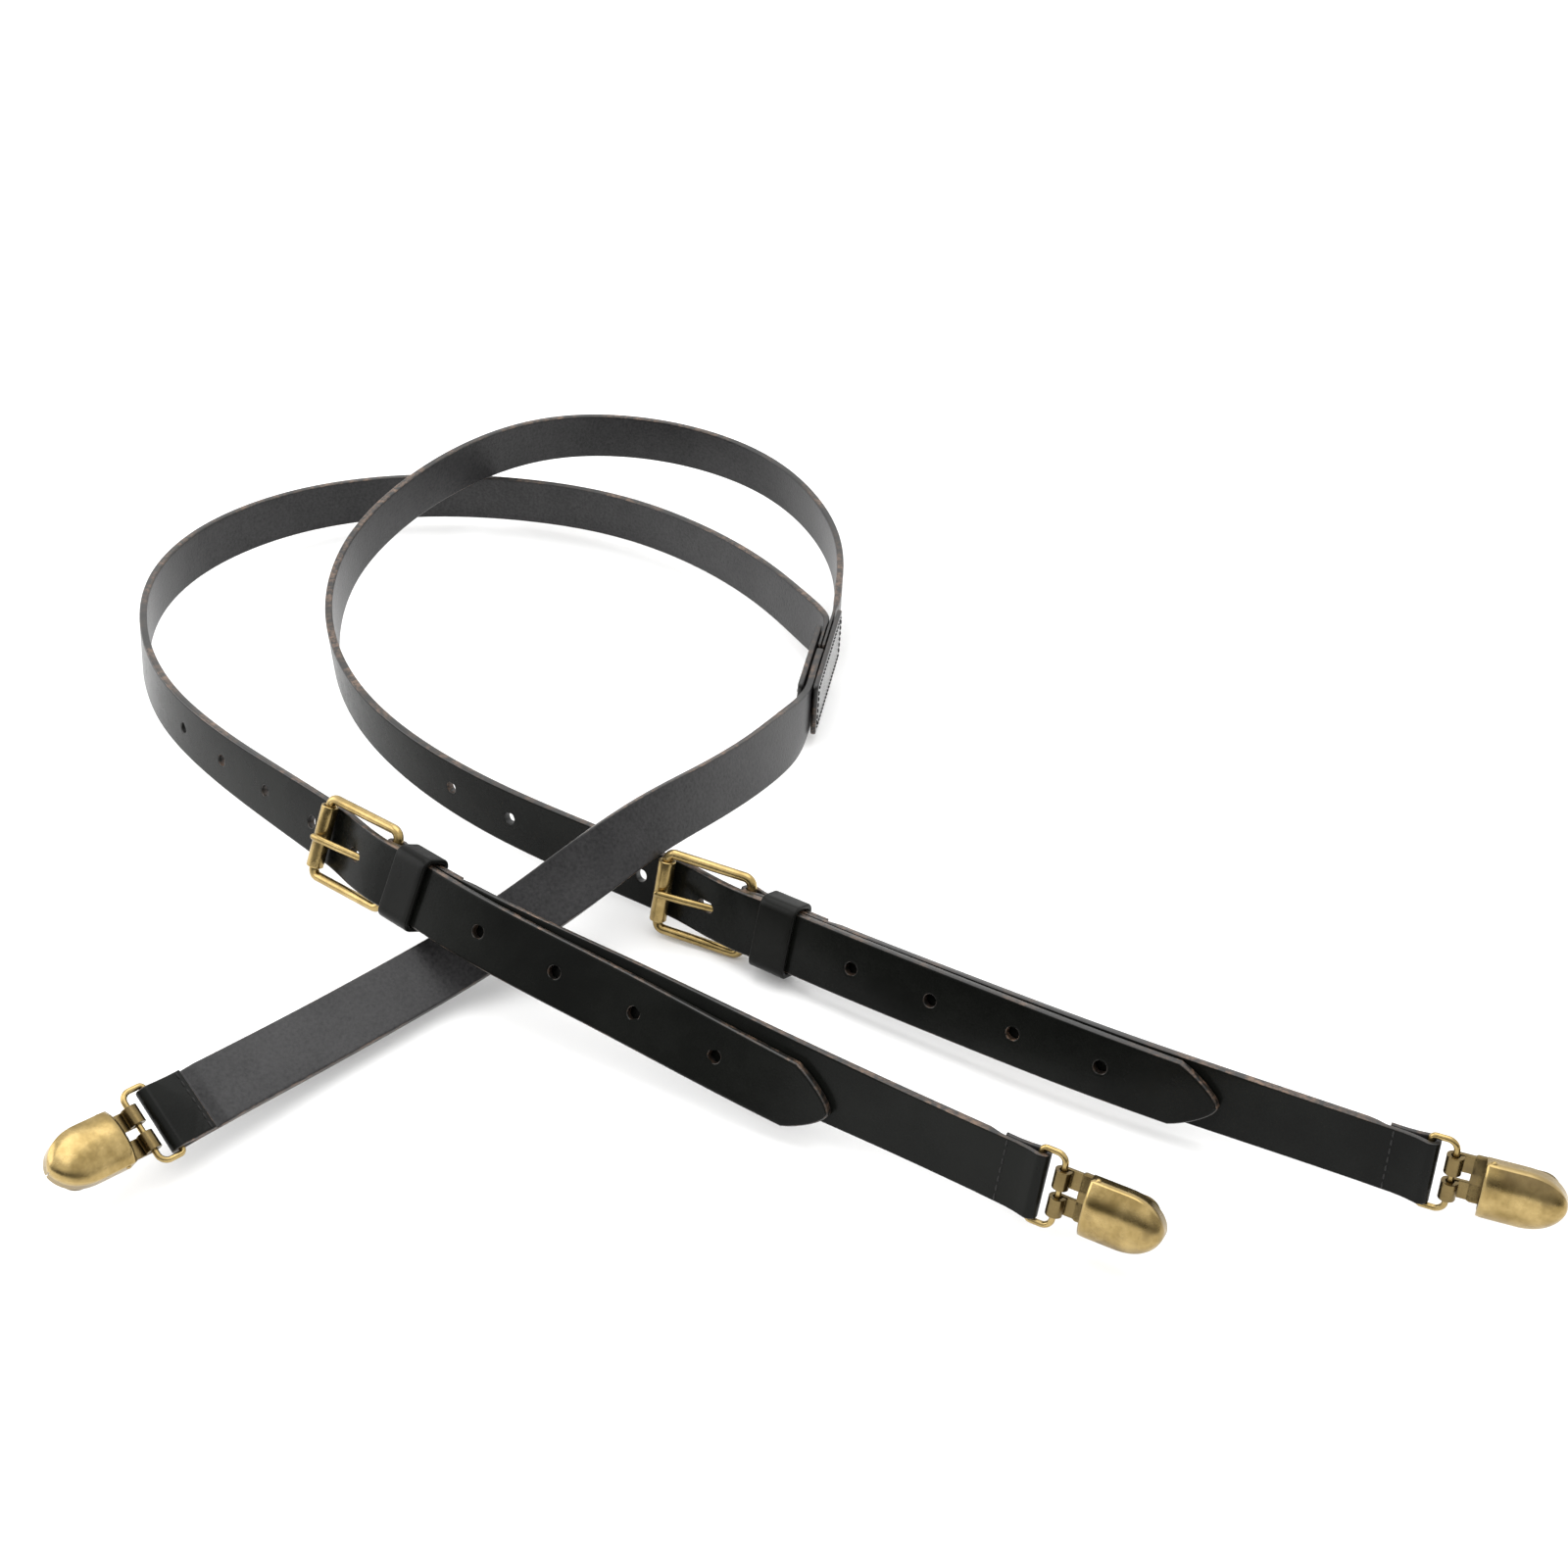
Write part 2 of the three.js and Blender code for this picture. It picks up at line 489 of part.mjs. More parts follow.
// ---- Front straps, one for each side ----
function frontStrap(side, routePoints, inPatch) {
  const route = new Route(routePoints);
  const place = lower[side];
  const end = route.length;
  const clipAt = end - foldRadius(loopWire) - foldThickness / 2;
  const heelAt = end - place.heelToEnd;
  const holeAt = heelAt - prongHoleToHeel;
  const tipAt = holeAt + holesAfterProng * place.holePitch + place.lastHoleToTip;

  const heel = buckle(pieces, route, heelAt, side);
  const strapEnd = station(pieces, route, clipAt, foldCentre);
  clip(strapEnd, side, hang[side]);

  // The long strap: thinned in the patch, under the roller, over the heel bar and along the tail.
  const thin = (strapThickness - clearance) / 2;
  const thinOut = (inPatch * (thin + clearance)) / 2;
  const lap = new THREE.Vector3().subVectors(patchTo, route.point(0)).length();
  const leaves = inPatch > 0 ? lap + 1 : lap + 1 - innerPatchShort;
  const full = (s, out) => ({ s, out, thickness: strapThickness });
  const tail = line(heelAt + settle + 1, tipAt - tipLength, layer);
  const point = [0.35, 0.6, 0.8, 0.93, 1].map((share) => full(tipAt - tipLength * (1 - share), layer));
  const view = [
    ...line(0, leaves, thinOut, thin, 7),
    full(leaves + 6, thinOut * 1.1),
    ...line(leaves + 22, heelAt - frameLength - 4, 0),
    ...[[1, 0], [0.8, 0.7], [0.6, 2.5], [0.4, 4.3], [0.2, 5.2]].map(([share, out]) =>
      full(heelAt - frameLength * share, out)),
    full(heelAt, strapOverHeel),
    ...tail, ...point,
  ];
  const pointed = (s) => {
    const into = Math.max(0, (s - (tipAt - tipLength)) / tipLength);
    return (strapWidth / 2) * Math.sqrt(1 - 0.96 * into ** 1.5);
  };
  const dropFrom = heelAt + 16;
  const drop = (s) => -place.tailDrop * Math.max(0, (s - dropFrom) / (tipAt - dropFrom)) ** 0.9;
  const drills = [];
  for (let i = -holesBeforeProng; i <= holesAfterProng; i++) {
    if (i === 0) continue;
    const s = holeAt + i * place.holePitch;
    drills.push(hole(route, s, i < 0 ? 0 : layer, holeRadius));
  }
  for (const swing of [0, 0.5, 1]) {
    const lifted = prong(prongRadius + clearance, 8);
    lifted.rotateY(THREE.MathUtils.degToRad((prongSwing + frameSwing) * swing)).applyMatrix4(heel.matrix);
    drills.push(lifted);
  }
  add(pieces, "front_strap_" + side, cut(lay(route, view, pointed, drop), ...drills), ...leather);

  // The lower strap: folded over the heel bar at one end and over the clip's wire at the other.
  const between = line(heelAt + heelFlap + 12, clipAt - loopFlap - 12, 0);
  const short = [...foldIn(heelAt, frameWire, heelFlap), ...between, ...foldOut(clipAt, loopWire, loopFlap)];
  const reach = prongRing + prongRadius + clearance;
  const half = prongRadius + 0.6;
  const slot = block([-reach - 1, -half, -reach - 1], [reach, half, reach + 1]).applyMatrix4(heel.matrix);
  add(pieces, "clip_strap_" + side, cut(lay(route, short), slot), ...leather);

  // The keeper goes round all three layers.
  const keeper = station(pieces, route, heelAt + place.keeperFromHeel + keeperWidth / 2, 0);
  const halfAcross = strapWidth / 2 + keeperPlay;
  const over = layer + strapThickness / 2 + keeperPlay;
  const under = flapOut - foldThickness / 2 - keeperPlay;
  const wall = keeperThickness;
  const outer = roundedPath(-halfAcross - wall, halfAcross + wall, under - wall, over + wall, 2.4, 3);
  const ring = new THREE.Shape(outer);
  ring.holes.push(new THREE.Path(roundedPath(-halfAcross, halfAcross, under, over, 0.6, 2)));
  const loop = new THREE.ExtrudeGeometry(ring, { depth: keeperWidth, bevelEnabled: false });
  loop.translate(0, 0, -keeperWidth / 2);
  loop.applyMatrix4(new THREE.Matrix4().makeBasis(
    new THREE.Vector3(0, 1, 0), new THREE.Vector3(0, 0, 1), new THREE.Vector3(1, 0, 0)));
  add(keeper, "keeper_" + side, loop, ...leather);
}

frontStrap("left", leftRoute, -1);
frontStrap("right", rightRoute, 1);

// ---- Back strap and its clip ----
const back = new Route(backRoute);
const backClipAt = back.length - foldRadius(loopWire) - foldThickness / 2;
const backEnd = station(pieces, back, backClipAt, foldCentre);
backEnd.rotateX(Math.PI);
const backView = [...line(0, backClipAt - loopFlap - 12, 0), ...foldOut(backClipAt, loopWire, loopFlap)];
add(pieces, "back_strap", lay(back, backView), ...leather);
clip(backEnd, "back", hang.back);

// ---- Back patch ----
const patchAlong = new THREE.Vector3().subVectors(patchTo, patchFrom);
const patch = new THREE.Group();
{
  const along = patchAlong.clone().normalize();
  const side = along.clone().cross(new THREE.Vector3(0, 0, 1));
  const lean = THREE.MathUtils.degToRad(patchLean);
  const across = new THREE.Vector3(0, 0, Math.cos(lean)).addScaledVector(side, Math.sin(lean));
  new THREE.Matrix4().makeBasis(along, across, along.clone().cross(across)).setPosition(patchFrom)
    .decompose(patch.position, patch.quaternion, patch.scale);
}
pieces.add(patch);
for (const [name, way, short] of [["outer", 1, 0], ["inner", -1, innerPatchShort]]) {
  const plan = new THREE.Shape(
    roundedPath(0, patchAlong.length() - short, -patchWidth / 2, patchWidth / 2, patchCorner, 3));
  const plate = new THREE.ExtrudeGeometry(plan, { depth: patchThickness, bevelEnabled: false });
  const face = strapThickness / 2 + patchGap;
  plate.translate(0, 0, way > 0 ? face : -face - patchThickness);
  add(patch, "back_patch_" + name, plate, ...leather);
}

// The group's origin is under the middle of the whole part, on the floor.
const suspenders = new THREE.Group();
suspenders.add(pieces);
suspenders.updateMatrixWorld(true);
const extent = new THREE.Box3().setFromObject(suspenders, true);
pieces.position.set(-(extent.min.x + extent.max.x) / 2, -(extent.min.y + extent.max.y) / 2, -extent.min.z);

export default suspenders;
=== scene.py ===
import math

import bmesh
import bpy
import numpy as np
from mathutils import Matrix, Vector
from mathutils.geometry import delaunay_2d_cdt


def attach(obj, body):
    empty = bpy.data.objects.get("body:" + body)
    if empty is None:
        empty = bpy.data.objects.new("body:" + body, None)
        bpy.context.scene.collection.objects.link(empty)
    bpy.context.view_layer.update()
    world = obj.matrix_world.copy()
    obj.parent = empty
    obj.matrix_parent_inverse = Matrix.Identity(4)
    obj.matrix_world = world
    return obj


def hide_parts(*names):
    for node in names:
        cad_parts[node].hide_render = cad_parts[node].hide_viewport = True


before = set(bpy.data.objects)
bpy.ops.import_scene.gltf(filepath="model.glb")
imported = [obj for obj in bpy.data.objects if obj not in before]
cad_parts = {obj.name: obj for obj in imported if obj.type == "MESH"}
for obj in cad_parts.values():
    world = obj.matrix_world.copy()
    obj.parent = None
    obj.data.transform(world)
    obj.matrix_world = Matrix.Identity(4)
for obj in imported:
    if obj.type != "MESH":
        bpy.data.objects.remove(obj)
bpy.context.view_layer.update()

# ---- Camera, floor and light ----
# A white sweep under a large soft box, with a bright room around it that the waxed leather and
# the brass reflect. Lengths are in millimetres on the object's plan and are scaled to metres.
MM = 0.001
PLACE = np.array([22.697, -9.011, 3.978])  # from the plan's origin to the object's
CAMERA_AT, LENS, FILM = (0, -577.4, 403.7), 45.22, 36


def metres(points):
    return (np.asarray(points, float) + PLACE) * MM


camera_data = bpy.data.cameras.new("camera")
camera = bpy.data.objects.new("camera", camera_data)
bpy.context.scene.collection.objects.link(camera)
camera.location = metres(CAMERA_AT)
camera.rotation_euler = (Vector(metres([0, 0, 0])) - camera.location).to_track_quat("-Z", "Y").to_euler()
camera_data.lens = LENS
camera_data.sensor_width = FILM
camera_data.clip_start = 0.01
bpy.context.scene.camera = camera
bpy.context.scene.view_settings.view_transform = "Standard"


class Wire:
    """A socket that can be used in Python sums, which add the Math nodes."""

    def __init__(self, paint, socket):
        self.paint, self.socket = paint, socket

    def maths(self, operation, *values):
        return self.paint.add("ShaderNodeMath", {"operation": operation}, dict(enumerate(values)))[0]

    def __add__(self, other):
        return self.maths("ADD", self, other)

    def __sub__(self, other):
        return self.maths("SUBTRACT", self, other)

    def __rsub__(self, other):
        return self.maths("SUBTRACT", other, self)

    def __mul__(self, other):
        return self.maths("MULTIPLY", self, other)

    __radd__, __rmul__ = __add__, __mul__

    def smooth(self, low, high):
        """0 below low, 1 above high, and a smooth step between them."""
        settings = {"interpolation_type": "SMOOTHSTEP"}
        return self.paint.add("ShaderNodeMapRange", settings, {0: self, 1: low, 2: high})[0]


class Node:
    """A node whose outputs are taken by name or number."""

    def __init__(self, paint, node):
        self.paint, self.node = paint, node

    def __getitem__(self, name):
        return Wire(self.paint, self.node.outputs[name])


class Paint:
    """A material of one Principled shader, with the nodes that drive it."""

    def __init__(self, name, **constants):
        self.material = bpy.data.materials.new(name)
        self.material.use_nodes = True
        self.tree = self.material.node_tree
        self.shader = self.tree.nodes["Principled BSDF"]
        self.set(**constants)

    def add(self, kind, settings=None, inputs=None):
        node = self.tree.nodes.new(kind)
        for key, value in (settings or {}).items():
            setattr(node, key, value)
        for key, value in (inputs or {}).items():
            self.feed(node.inputs[key], value)
        return Node(self, node)

    def feed(self, socket, value):
        if isinstance(value, Wire):
            self.tree.links.new(value.socket, socket)
        elif isinstance(value, tuple) and len(value) == 3 and socket.type == "RGBA":
            socket.default_value = (*value, 1)
        else:
            socket.default_value = value

    def set(self, **values):
        for key, value in values.items():
            self.feed(self.shader.inputs[key.replace("_", " ")], value)

    def place(self):
        return self.add("ShaderNodeTexCoord")["Object"]

    def noise(self, where, scale, detail=2.0, roughness=0.5):
        inputs = {"Vector": where, "Scale": scale, "Detail": detail, "Roughness": roughness}
        return self.add("ShaderNodeTexNoise", None, inputs)["Fac"]

    def cells(self, where, scale):
        return self.add("ShaderNodeTexVoronoi", None, {"Vector": where, "Scale": scale})["Distance"]

    def stretch(self, where, scale):
        return self.add("ShaderNodeMapping", None, {"Vector": where, "Scale": scale})["Vector"]

    def blend(self, factor, first, second):
        node = self.add("ShaderNodeMix", {"data_type": "RGBA"}, {0: factor})
        self.feed(node.node.inputs[6], first)
        self.feed(node.node.inputs[7], second)
        return Wire(self, node.node.outputs[2])

    def bump(self, height, strength, distance):
        inputs = {"Height": height, "Strength": strength, "Distance": distance}
        self.set(Normal=self.add("ShaderNodeBump", None, inputs)["Normal"])


def finished(name, mesh, body, replaces=(), smooth=True):
    """Shows a finished mesh, which moves with a body and stands for the plain nodes named."""
    if smooth:
        mesh.shade_smooth()
    piece = bpy.data.objects.new(name + "_made" if replaces else name, mesh)
    bpy.context.scene.collection.objects.link(piece)
    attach(piece, body)
    if replaces:
        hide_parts(*replaces)
    return piece


floor_paint = Paint("white_sweep", Base_Color=(0.93, 0.93, 0.925), Roughness=0.75, Specular_IOR_Level=0.2)
floor_spots = floor_paint.noise(floor_paint.place(), 3, 2)
floor_paint.set(Base_Color=floor_paint.blend(floor_spots, (0.925, 0.925, 0.92), (0.94, 0.94, 0.935)))
floor_mesh = bpy.data.meshes.new("floor")
FLOOR_TOP = -0.0003
floor_corners = [(x, y, FLOOR_TOP) for x, y in ((-6, -3), (6, -3), (6, 9), (-6, 9))]
floor_mesh.from_pydata(floor_corners, [], [(0, 1, 2, 3)])
floor_mesh.materials.append(floor_paint.material)
floor = bpy.data.objects.new("floor", floor_mesh)
bpy.context.scene.collection.objects.link(floor)

# The room is bright above and behind, and dark low down in front.
world = bpy.data.worlds.new("room")
bpy.context.scene.world = world
world.use_nodes = True
room_nodes, room_links = world.node_tree.nodes, world.node_tree.links
toward, split = room_nodes.new("ShaderNodeTexCoord"), room_nodes.new("ShaderNodeSeparateXYZ")
height, fade = room_nodes.new("ShaderNodeMath"), room_nodes.new("ShaderNodeMapRange")
height.operation = "MULTIPLY_ADD"
height.inputs[1].default_value = 0.9
fade.interpolation_type = "SMOOTHSTEP"
fade.inputs["From Min"].default_value, fade.inputs["From Max"].default_value = -0.75, 0.3
fade.inputs["To Min"].default_value, fade.inputs["To Max"].default_value = 0.07, 1.25
room_links.new(toward.outputs["Generated"], split.inputs["Vector"])
room_links.new(split.outputs["Z"], height.inputs[0])
room_links.new(split.outputs["Y"], height.inputs[2])
room_links.new(height.outputs["Value"], fade.inputs["Value"])
room_links.new(fade.outputs["Result"], room_nodes["Background"].inputs["Strength"])
room_nodes["Background"].inputs["Color"].default_value = (1, 1, 1, 1)

for light_name, at, size, power in (
    ("overhead", (0.1, 0.3, 1.5), 1.6, 16), ("left_window", (-1.6, 0.1, 0.9), 1.4, 14),
    ("front_fill", (0.3, -1.6, 1.2), 1.2, 1.5),
):
    light_data = bpy.data.lights.new(light_name, "AREA")
    light_data.shape = "SQUARE"
    light_data.size = size
    light_data.energy = power
    light = bpy.data.objects.new(light_name, light_data)
    bpy.context.scene.collection.objects.link(light)
    light.location = at
    light.rotation_euler = (Vector((0, 0, 0)) - light.location).to_track_quat("-Z", "Y").to_euler()

# ---- Leather ----
# Full-grain bridle leather, dyed near black and waxed. The grain side is smooth with fine pores,
# the flesh side is a mottled grey nap, and the cut edges are inked, with brown fibres showing.


def pores(paint, where):
    fine = paint.cells(where, 1500) * 0.6
    return fine + paint.noise(where, 420, 4, 0.6) * 0.9 + paint.noise(where, 60, 2) * 0.5


def grain_paint(name, tone, roughness, shine=0.08):
    paint = Paint(name, Coat_Roughness=0.16, Specular_IOR_Level=shine, IOR=1.5)
    where = paint.place()
    clouds = paint.noise(where, 26, 4, 0.6)
    dark = tuple(0.72 * c for c in tone)
    light = tuple(1.35 * c for c in tone)
    rubbed = paint.noise(where, 210, 3, 0.65)
    paint.set(
        Base_Color=paint.blend(clouds.smooth(0.3, 0.7), dark, light),
        Roughness=roughness + (clouds - 0.5) * 0.16 + (rubbed - 0.5) * 0.12,
        Coat_Weight=0.06 + (clouds - 0.5) * 0.08,
    )
    paint.bump(pores(paint, where), 0.22, 0.0001)
    return paint.material


def flesh_paint(name, dark, light):
    paint = Paint(name, Specular_IOR_Level=0.22, Coat_Roughness=0.22)
    where = paint.place()
    nap = paint.noise(where, 900, 5, 0.7)
    patches = paint.noise(where, 45, 4, 0.65)
    specks = paint.cells(where, 650).smooth(0.2, 0.55)
    mix = nap.smooth(0.32, 0.68) * 0.55 + patches.smooth(0.3, 0.7) * 0.3 + specks * 0.15
    paint.set(
        Base_Color=paint.blend(mix, dark, light),
        Roughness=0.38 + (nap - 0.5) * 0.24, Coat_Weight=0.08 + patches * 0.12)
    paint.bump(nap + specks * 0.4, 0.4, 0.00013)
    return paint.material


def edge_paint(name, dark, brown):
    paint = Paint(name, Specular_IOR_Level=0.45, Coat_Roughness=0.3)
    where = paint.place()
    fibres = paint.noise(paint.stretch(where, (1, 1, 3)), 350, 4, 0.7)
    worn = paint.noise(where, 35, 3, 0.6)
    paint.set(
        Base_Color=paint.blend(fibres.smooth(0.4, 0.7) * worn.smooth(0.36, 0.62), dark, brown),
        Roughness=0.42 + (fibres - 0.5) * 0.3, Coat_Weight=0.12 + worn * 0.12)
    paint.bump(fibres, 0.4, 0.00015)
    return paint.material


grain = grain_paint("bridle_grain", (0.0052, 0.0056, 0.0048), 0.27)
patch_grain = grain_paint("patch_grain", (0.0062, 0.0064, 0.0056), 0.19, 0.6)
keeper_grain = grain_paint("keeper_grain", (0.0055, 0.0057, 0.0050), 0.30)
flesh = flesh_paint("flesh_side", (0.0085, 0.0085, 0.009), (0.034, 0.033, 0.034))
edge = edge_paint("inked_edge", (0.0075, 0.007, 0.0062), (0.17, 0.105, 0.068))

# ---- Straps ----
# Each strap is cut 20 mm wide, skived where it folds round a bar, and stands on its edge in an
# open loop. A route runs along its middle; a side view on that route gives its folds and laps.
STRAP_WIDTH, STRAP = 20.0, 2.8
FOLD = 1.5  # thickness where it is skived
GAP = 0.3
# Each knot is x, y, z and the lean of the strap's width from upright, in degrees.
ROUTES = {
    "left": [
        [13.6, 61.5, 11.3, 3], [15, 69.5, 11.3, 3], [16.1, 75.8, 11.3, 3], [16.5, 81.2, 11.3, 4],
        [14.6, 86.4, 11.4, 7], [9.8, 95.2, 11.2, 9], [3.2, 107.6, 10.8, 8], [-8.2, 127.2, 10.4, 6],
        [-38.5, 163, 10.3, 1], [-76.5, 190, 10.3, -1], [-121, 204.5, 10.2, -1], [-167.5, 206.5, 10.2, 0],
        [-211, 191, 10.7, 0], [-241, 156, 12.4, -2], [-250.5, 110.5, 15.1, -5], [-242.5, 65, 17.6, -7],
        [-223, 22.5, 19.6, -9], [-194, -14, 20.8, -13], [-160.4, -48.6, 23.1, -22],
        [-126.6, -82.4, 25.4, -29], [-89.9, -111.2, 24.2, -33], [-49.8, -133.7, 19.5, -33],
        [-10, -156.5, 15.2, -27], [29.9, -180.6, 13, -17], [69.6, -206.4, 12.5, -17],
    ],
    "right": [
        [13.6, 61.5, 11.3, 3], [16, 75, 11.3, 3], [18.3, 88, 11.3, 3], [20.8, 106, 11, 3],
        [22, 145, 11, 1], [12, 186, 12.3, -1], [-13, 222.6, 15.3, -2], [-52.6, 240.6, 20.4, -3],
        [-97.1, 230.9, 27.5, -4], [-132.4, 199.1, 31.4, -4], [-156.6, 164.7, 29.6, -5],
        [-173, 128.1, 24, -3], [-175.3, 86.9, 18.3, 1], [-163, 44.5, 14.6, 1], [-138, 5, 13.4, -2],
        [-104, -27.5, 12, -9], [-65, -54, 10.5, -15], [-25.5, -79.5, 10, -18], [13.5, -106, 10.2, -21],
        [53, -131.5, 10.8, -21], [93, -156, 11.4, -18], [135, -178.5, 11.5, -12], [175.7, -201.7, 13, -9],
    ],
    "back": [
        [13.1, 58.5, 11.3, -3], [10.7, 45, 11.3, -3], [8.2, 31, 11.3, -3], [1, 6, 16.2, 12],
        [-11.3, -21.4, 22.5, 18], [-26.6, -45.6, 27.4, 21], [-43.6, -67.8, 30.7, 28],
        [-59.8, -83.8, 27.7, 42], [-79.7, -94, 17.1, 55], [-101.3, -105.3, 7.9, 58],
        [-121.5, -124, 6.7, 59], [-140, -142.5, 7.2, 60], [-158, -162.5, 9.6, 60], [-175.5, -182, 12, 55],
    ],
}
LAP_END = np.array([18.3, 88, 11.3])


class Curve:
    """A natural cubic spline through rows of values, one row at each place."""

    def __init__(self, places, rows):
        self.at, self.rows = np.asarray(places, float), np.asarray(rows, float)
        count, gaps = len(self.at), np.diff(self.at)
        sums = np.eye(count)
        right = np.zeros_like(self.rows)
        for i in range(1, count - 1):
            sums[i, i - 1: i + 2] = gaps[i - 1] / 6, (gaps[i - 1] + gaps[i]) / 3, gaps[i] / 6
            after, before = self.rows[i + 1] - self.rows[i], self.rows[i] - self.rows[i - 1]
            right[i] = after / gaps[i] - before / gaps[i - 1]
        self.bends = np.linalg.solve(sums, right)

    def __call__(self, x):
        x = np.atleast_1d(x)
        i = np.clip(np.searchsorted(self.at, x, side="right") - 1, 0, len(self.at) - 2)
        span = (self.at[i + 1] - self.at[i])[:, None]
        b = ((x - self.at[i])[:, None]) / span
        a = 1 - b
        bend = ((a ** 3 - a) * self.bends[i] + (b ** 3 - b) * self.bends[i + 1]) * span ** 2 / 6
        return a * self.rows[i] + b * self.rows[i + 1] + bend


def unit(vectors):
    return vectors / np.linalg.norm(vectors, axis=-1, keepdims=True)


class Route:
    """The line along the middle of a strap, and the directions along, across and out of it."""

    def __init__(self, knots):
        knots = np.array(knots, float)
        chord = np.concatenate([[0], np.cumsum(np.linalg.norm(np.diff(knots[:, :3], axis=0), axis=1))])
        self.curve = Curve(chord, knots)
        self.u = np.linspace(0, chord[-1], len(knots) * 20 + 1)
        walk = self.curve(self.u)[:, :3]
        self.s = np.concatenate([[0], np.cumsum(np.linalg.norm(np.diff(walk, axis=0), axis=1))])
        self.length = self.s[-1]

    def frame(self, s):
        s = np.atleast_1d(s)
        u = np.interp(s, self.s, self.u)
        here = self.curve(u)
        along = unit(self.curve(u + 0.01)[:, :3] - self.curve(u - 0.01)[:, :3])
        centre = here[:, :3] + along * np.where(s > self.length, s - self.length, np.minimum(s, 0))[:, None]
        side = unit(np.cross(along, [0, 0, 1]))
        lean = np.radians(here[:, 3])[:, None]
        across = np.cross(side, along) * np.cos(lean) + side * np.sin(lean)
        return centre, along, across, np.cross(along, across)

    def at(self, s, across, out):
        centre, _, wide, outward = self.frame(s)
        return centre + wide * np.reshape(across, (-1, 1)) + outward * np.reshape(out, (-1, 1))


class Sheet:
    """Leather on a route: t runs along the leather itself, through its folds, and w across it."""

    def __init__(self, route, view, shift=None):
        self.route, self.shift = route, shift or (lambda s: 0 * s)
        view = np.array(view, float)
        places = np.concatenate([[0], np.cumsum(np.linalg.norm(np.diff(view[:, :2], axis=0), axis=1))])
        self.places, self.view, self.length = places, view, places[-1]

    def side(self, t):
        return np.stack([np.interp(t, self.places, self.view[:, k]) for k in range(3)], -1)

    def place(self, t, w, depth):
        """depth is -1 on the flesh side and 1 on the grain side."""
        here, ahead, behind = self.side(t), self.side(t + 0.35), self.side(t - 0.35)
        way = ahead[:, :2] - behind[:, :2]
        way /= np.linalg.norm(way, axis=1, keepdims=True)
        off = depth * here[:, 2] / 2
        s, out = here[:, 0] - way[:, 1] * off, here[:, 1] + way[:, 0] * off
        return self.route.at(s, w + self.shift(here[:, 0]), out)

    def t_of(self, s):
        """Where the main layer, between its folds, passes s on the route."""
        first, last = np.argmin(self.view[:, 0]), np.argmax(self.view[:, 0])
        return float(np.interp(s, self.view[first: last + 1, 0], self.places[first: last + 1]))


def ring_offsets(loop):
    """Unit normals that point out of the leather, for a closed loop walked counter-clockwise."""
    ahead, behind = np.roll(loop, -1, 0) - loop, loop - np.roll(loop, 1, 0)
    way = unit(unit(ahead) + unit(behind))
    return np.stack([way[:, 1], -way[:, 0]], -1)


def leather_mesh(name, outline, holes, place, thickness, paints, soft=0.7):
    """A flat cut of leather with rounded edges, laid in its place: outline counter-clockwise,
    holes clockwise, all in millimetres on the flat leather."""
    loops = [np.array(loop, float) for loop in (outline, *holes)]
    radii = [soft] + [min(soft, 0.35)] * len(holes)
    quarter = np.radians([0, 25, 50, 72, 90])
    grain_side, flesh_side, cut_edge = 0, 1, 2
    rings, verts, faces, kinds = [], [], [], []
    for loop, radius in zip(loops, radii):
        normal = ring_offsets(loop)
        steps = [(radius + 0.45, 1.0)]
        share = 2 * radius / thickness
        steps += [(radius * (1 - math.sin(a)), 1 - share * (1 - math.cos(a))) for a in quarter]
        steps += [(inset, -depth) for inset, depth in reversed(steps)]
        start, size = len(verts), len(loop)
        for inset, depth in steps:
            level = loop - normal * inset
            verts += [(t, w, depth) for t, w in level]
        rings.append((start, size, len(steps)))
        for k in range(len(steps) - 1):
            kind = grain_side if k < 2 else flesh_side if k > len(steps) - 4 else cut_edge
            for j in range(size):
                a, b = start + k * size + j, start + k * size + (j + 1) % size
                faces.append((a, a + size, b + size, b))
                kinds.append(kind)
    for top in (True, False):
        points, edges, ids = [], [], []
        for start, size, count in rings:
            first = start if top else start + (count - 1) * size
            base = len(points)
            points += [Vector(verts[first + j][:2]) for j in range(size)]
            ids += [first + j for j in range(size)]
            edges += [(base + j, base + (j + 1) % size) for j in range(size)]
        found = delaunay_2d_cdt(points, edges, [], 1, 1e-7)
        extra = {}
        for triangle in found[2]:
            middle = sum((found[0][i] for i in triangle), Vector((0, 0))) / 3
            if any(inside(middle, loop) for loop in loops[1:]):
                continue
            corner = []
            for i in triangle:
                source = found[3][i]
                if source:
                    corner.append(ids[source[0]])
                else:
                    if i not in extra:
                        extra[i] = len(verts)
                        verts.append((*found[0][i], 1.0 if top else -1.0))
                    corner.append(extra[i])
            faces.append(tuple(corner) if top else tuple(reversed(corner)))
            kinds.append(grain_side if top else flesh_side)
    verts = np.array(verts)
    mesh = bpy.data.meshes.new(name)
    mesh.from_pydata(metres(place(verts[:, 0], verts[:, 1], verts[:, 2])), [], faces)
    for paint in paints:
        mesh.materials.append(paint)
    mesh.polygons.foreach_set("material_index", kinds)
    layer = mesh.uv_layers.new(name="leather")
    corners = np.zeros(len(mesh.loops), int)
    mesh.loops.foreach_get("vertex_index", corners)
    layer.data.foreach_set("uv", (verts[corners, :2] * MM).ravel())
    mesh.validate()
    return mesh


def inside(point, loop):
    x, y = point
    a, b = loop, np.roll(loop, -1, 0)
    crosses = (a[:, 1] > y) != (b[:, 1] > y)
    with np.errstate(divide="ignore", invalid="ignore"):
        cut_x = a[:, 0] + (y - a[:, 1]) * (b[:, 0] - a[:, 0]) / (b[:, 1] - a[:, 1])
    return bool(np.sum(crosses & (x < cut_x)) % 2)


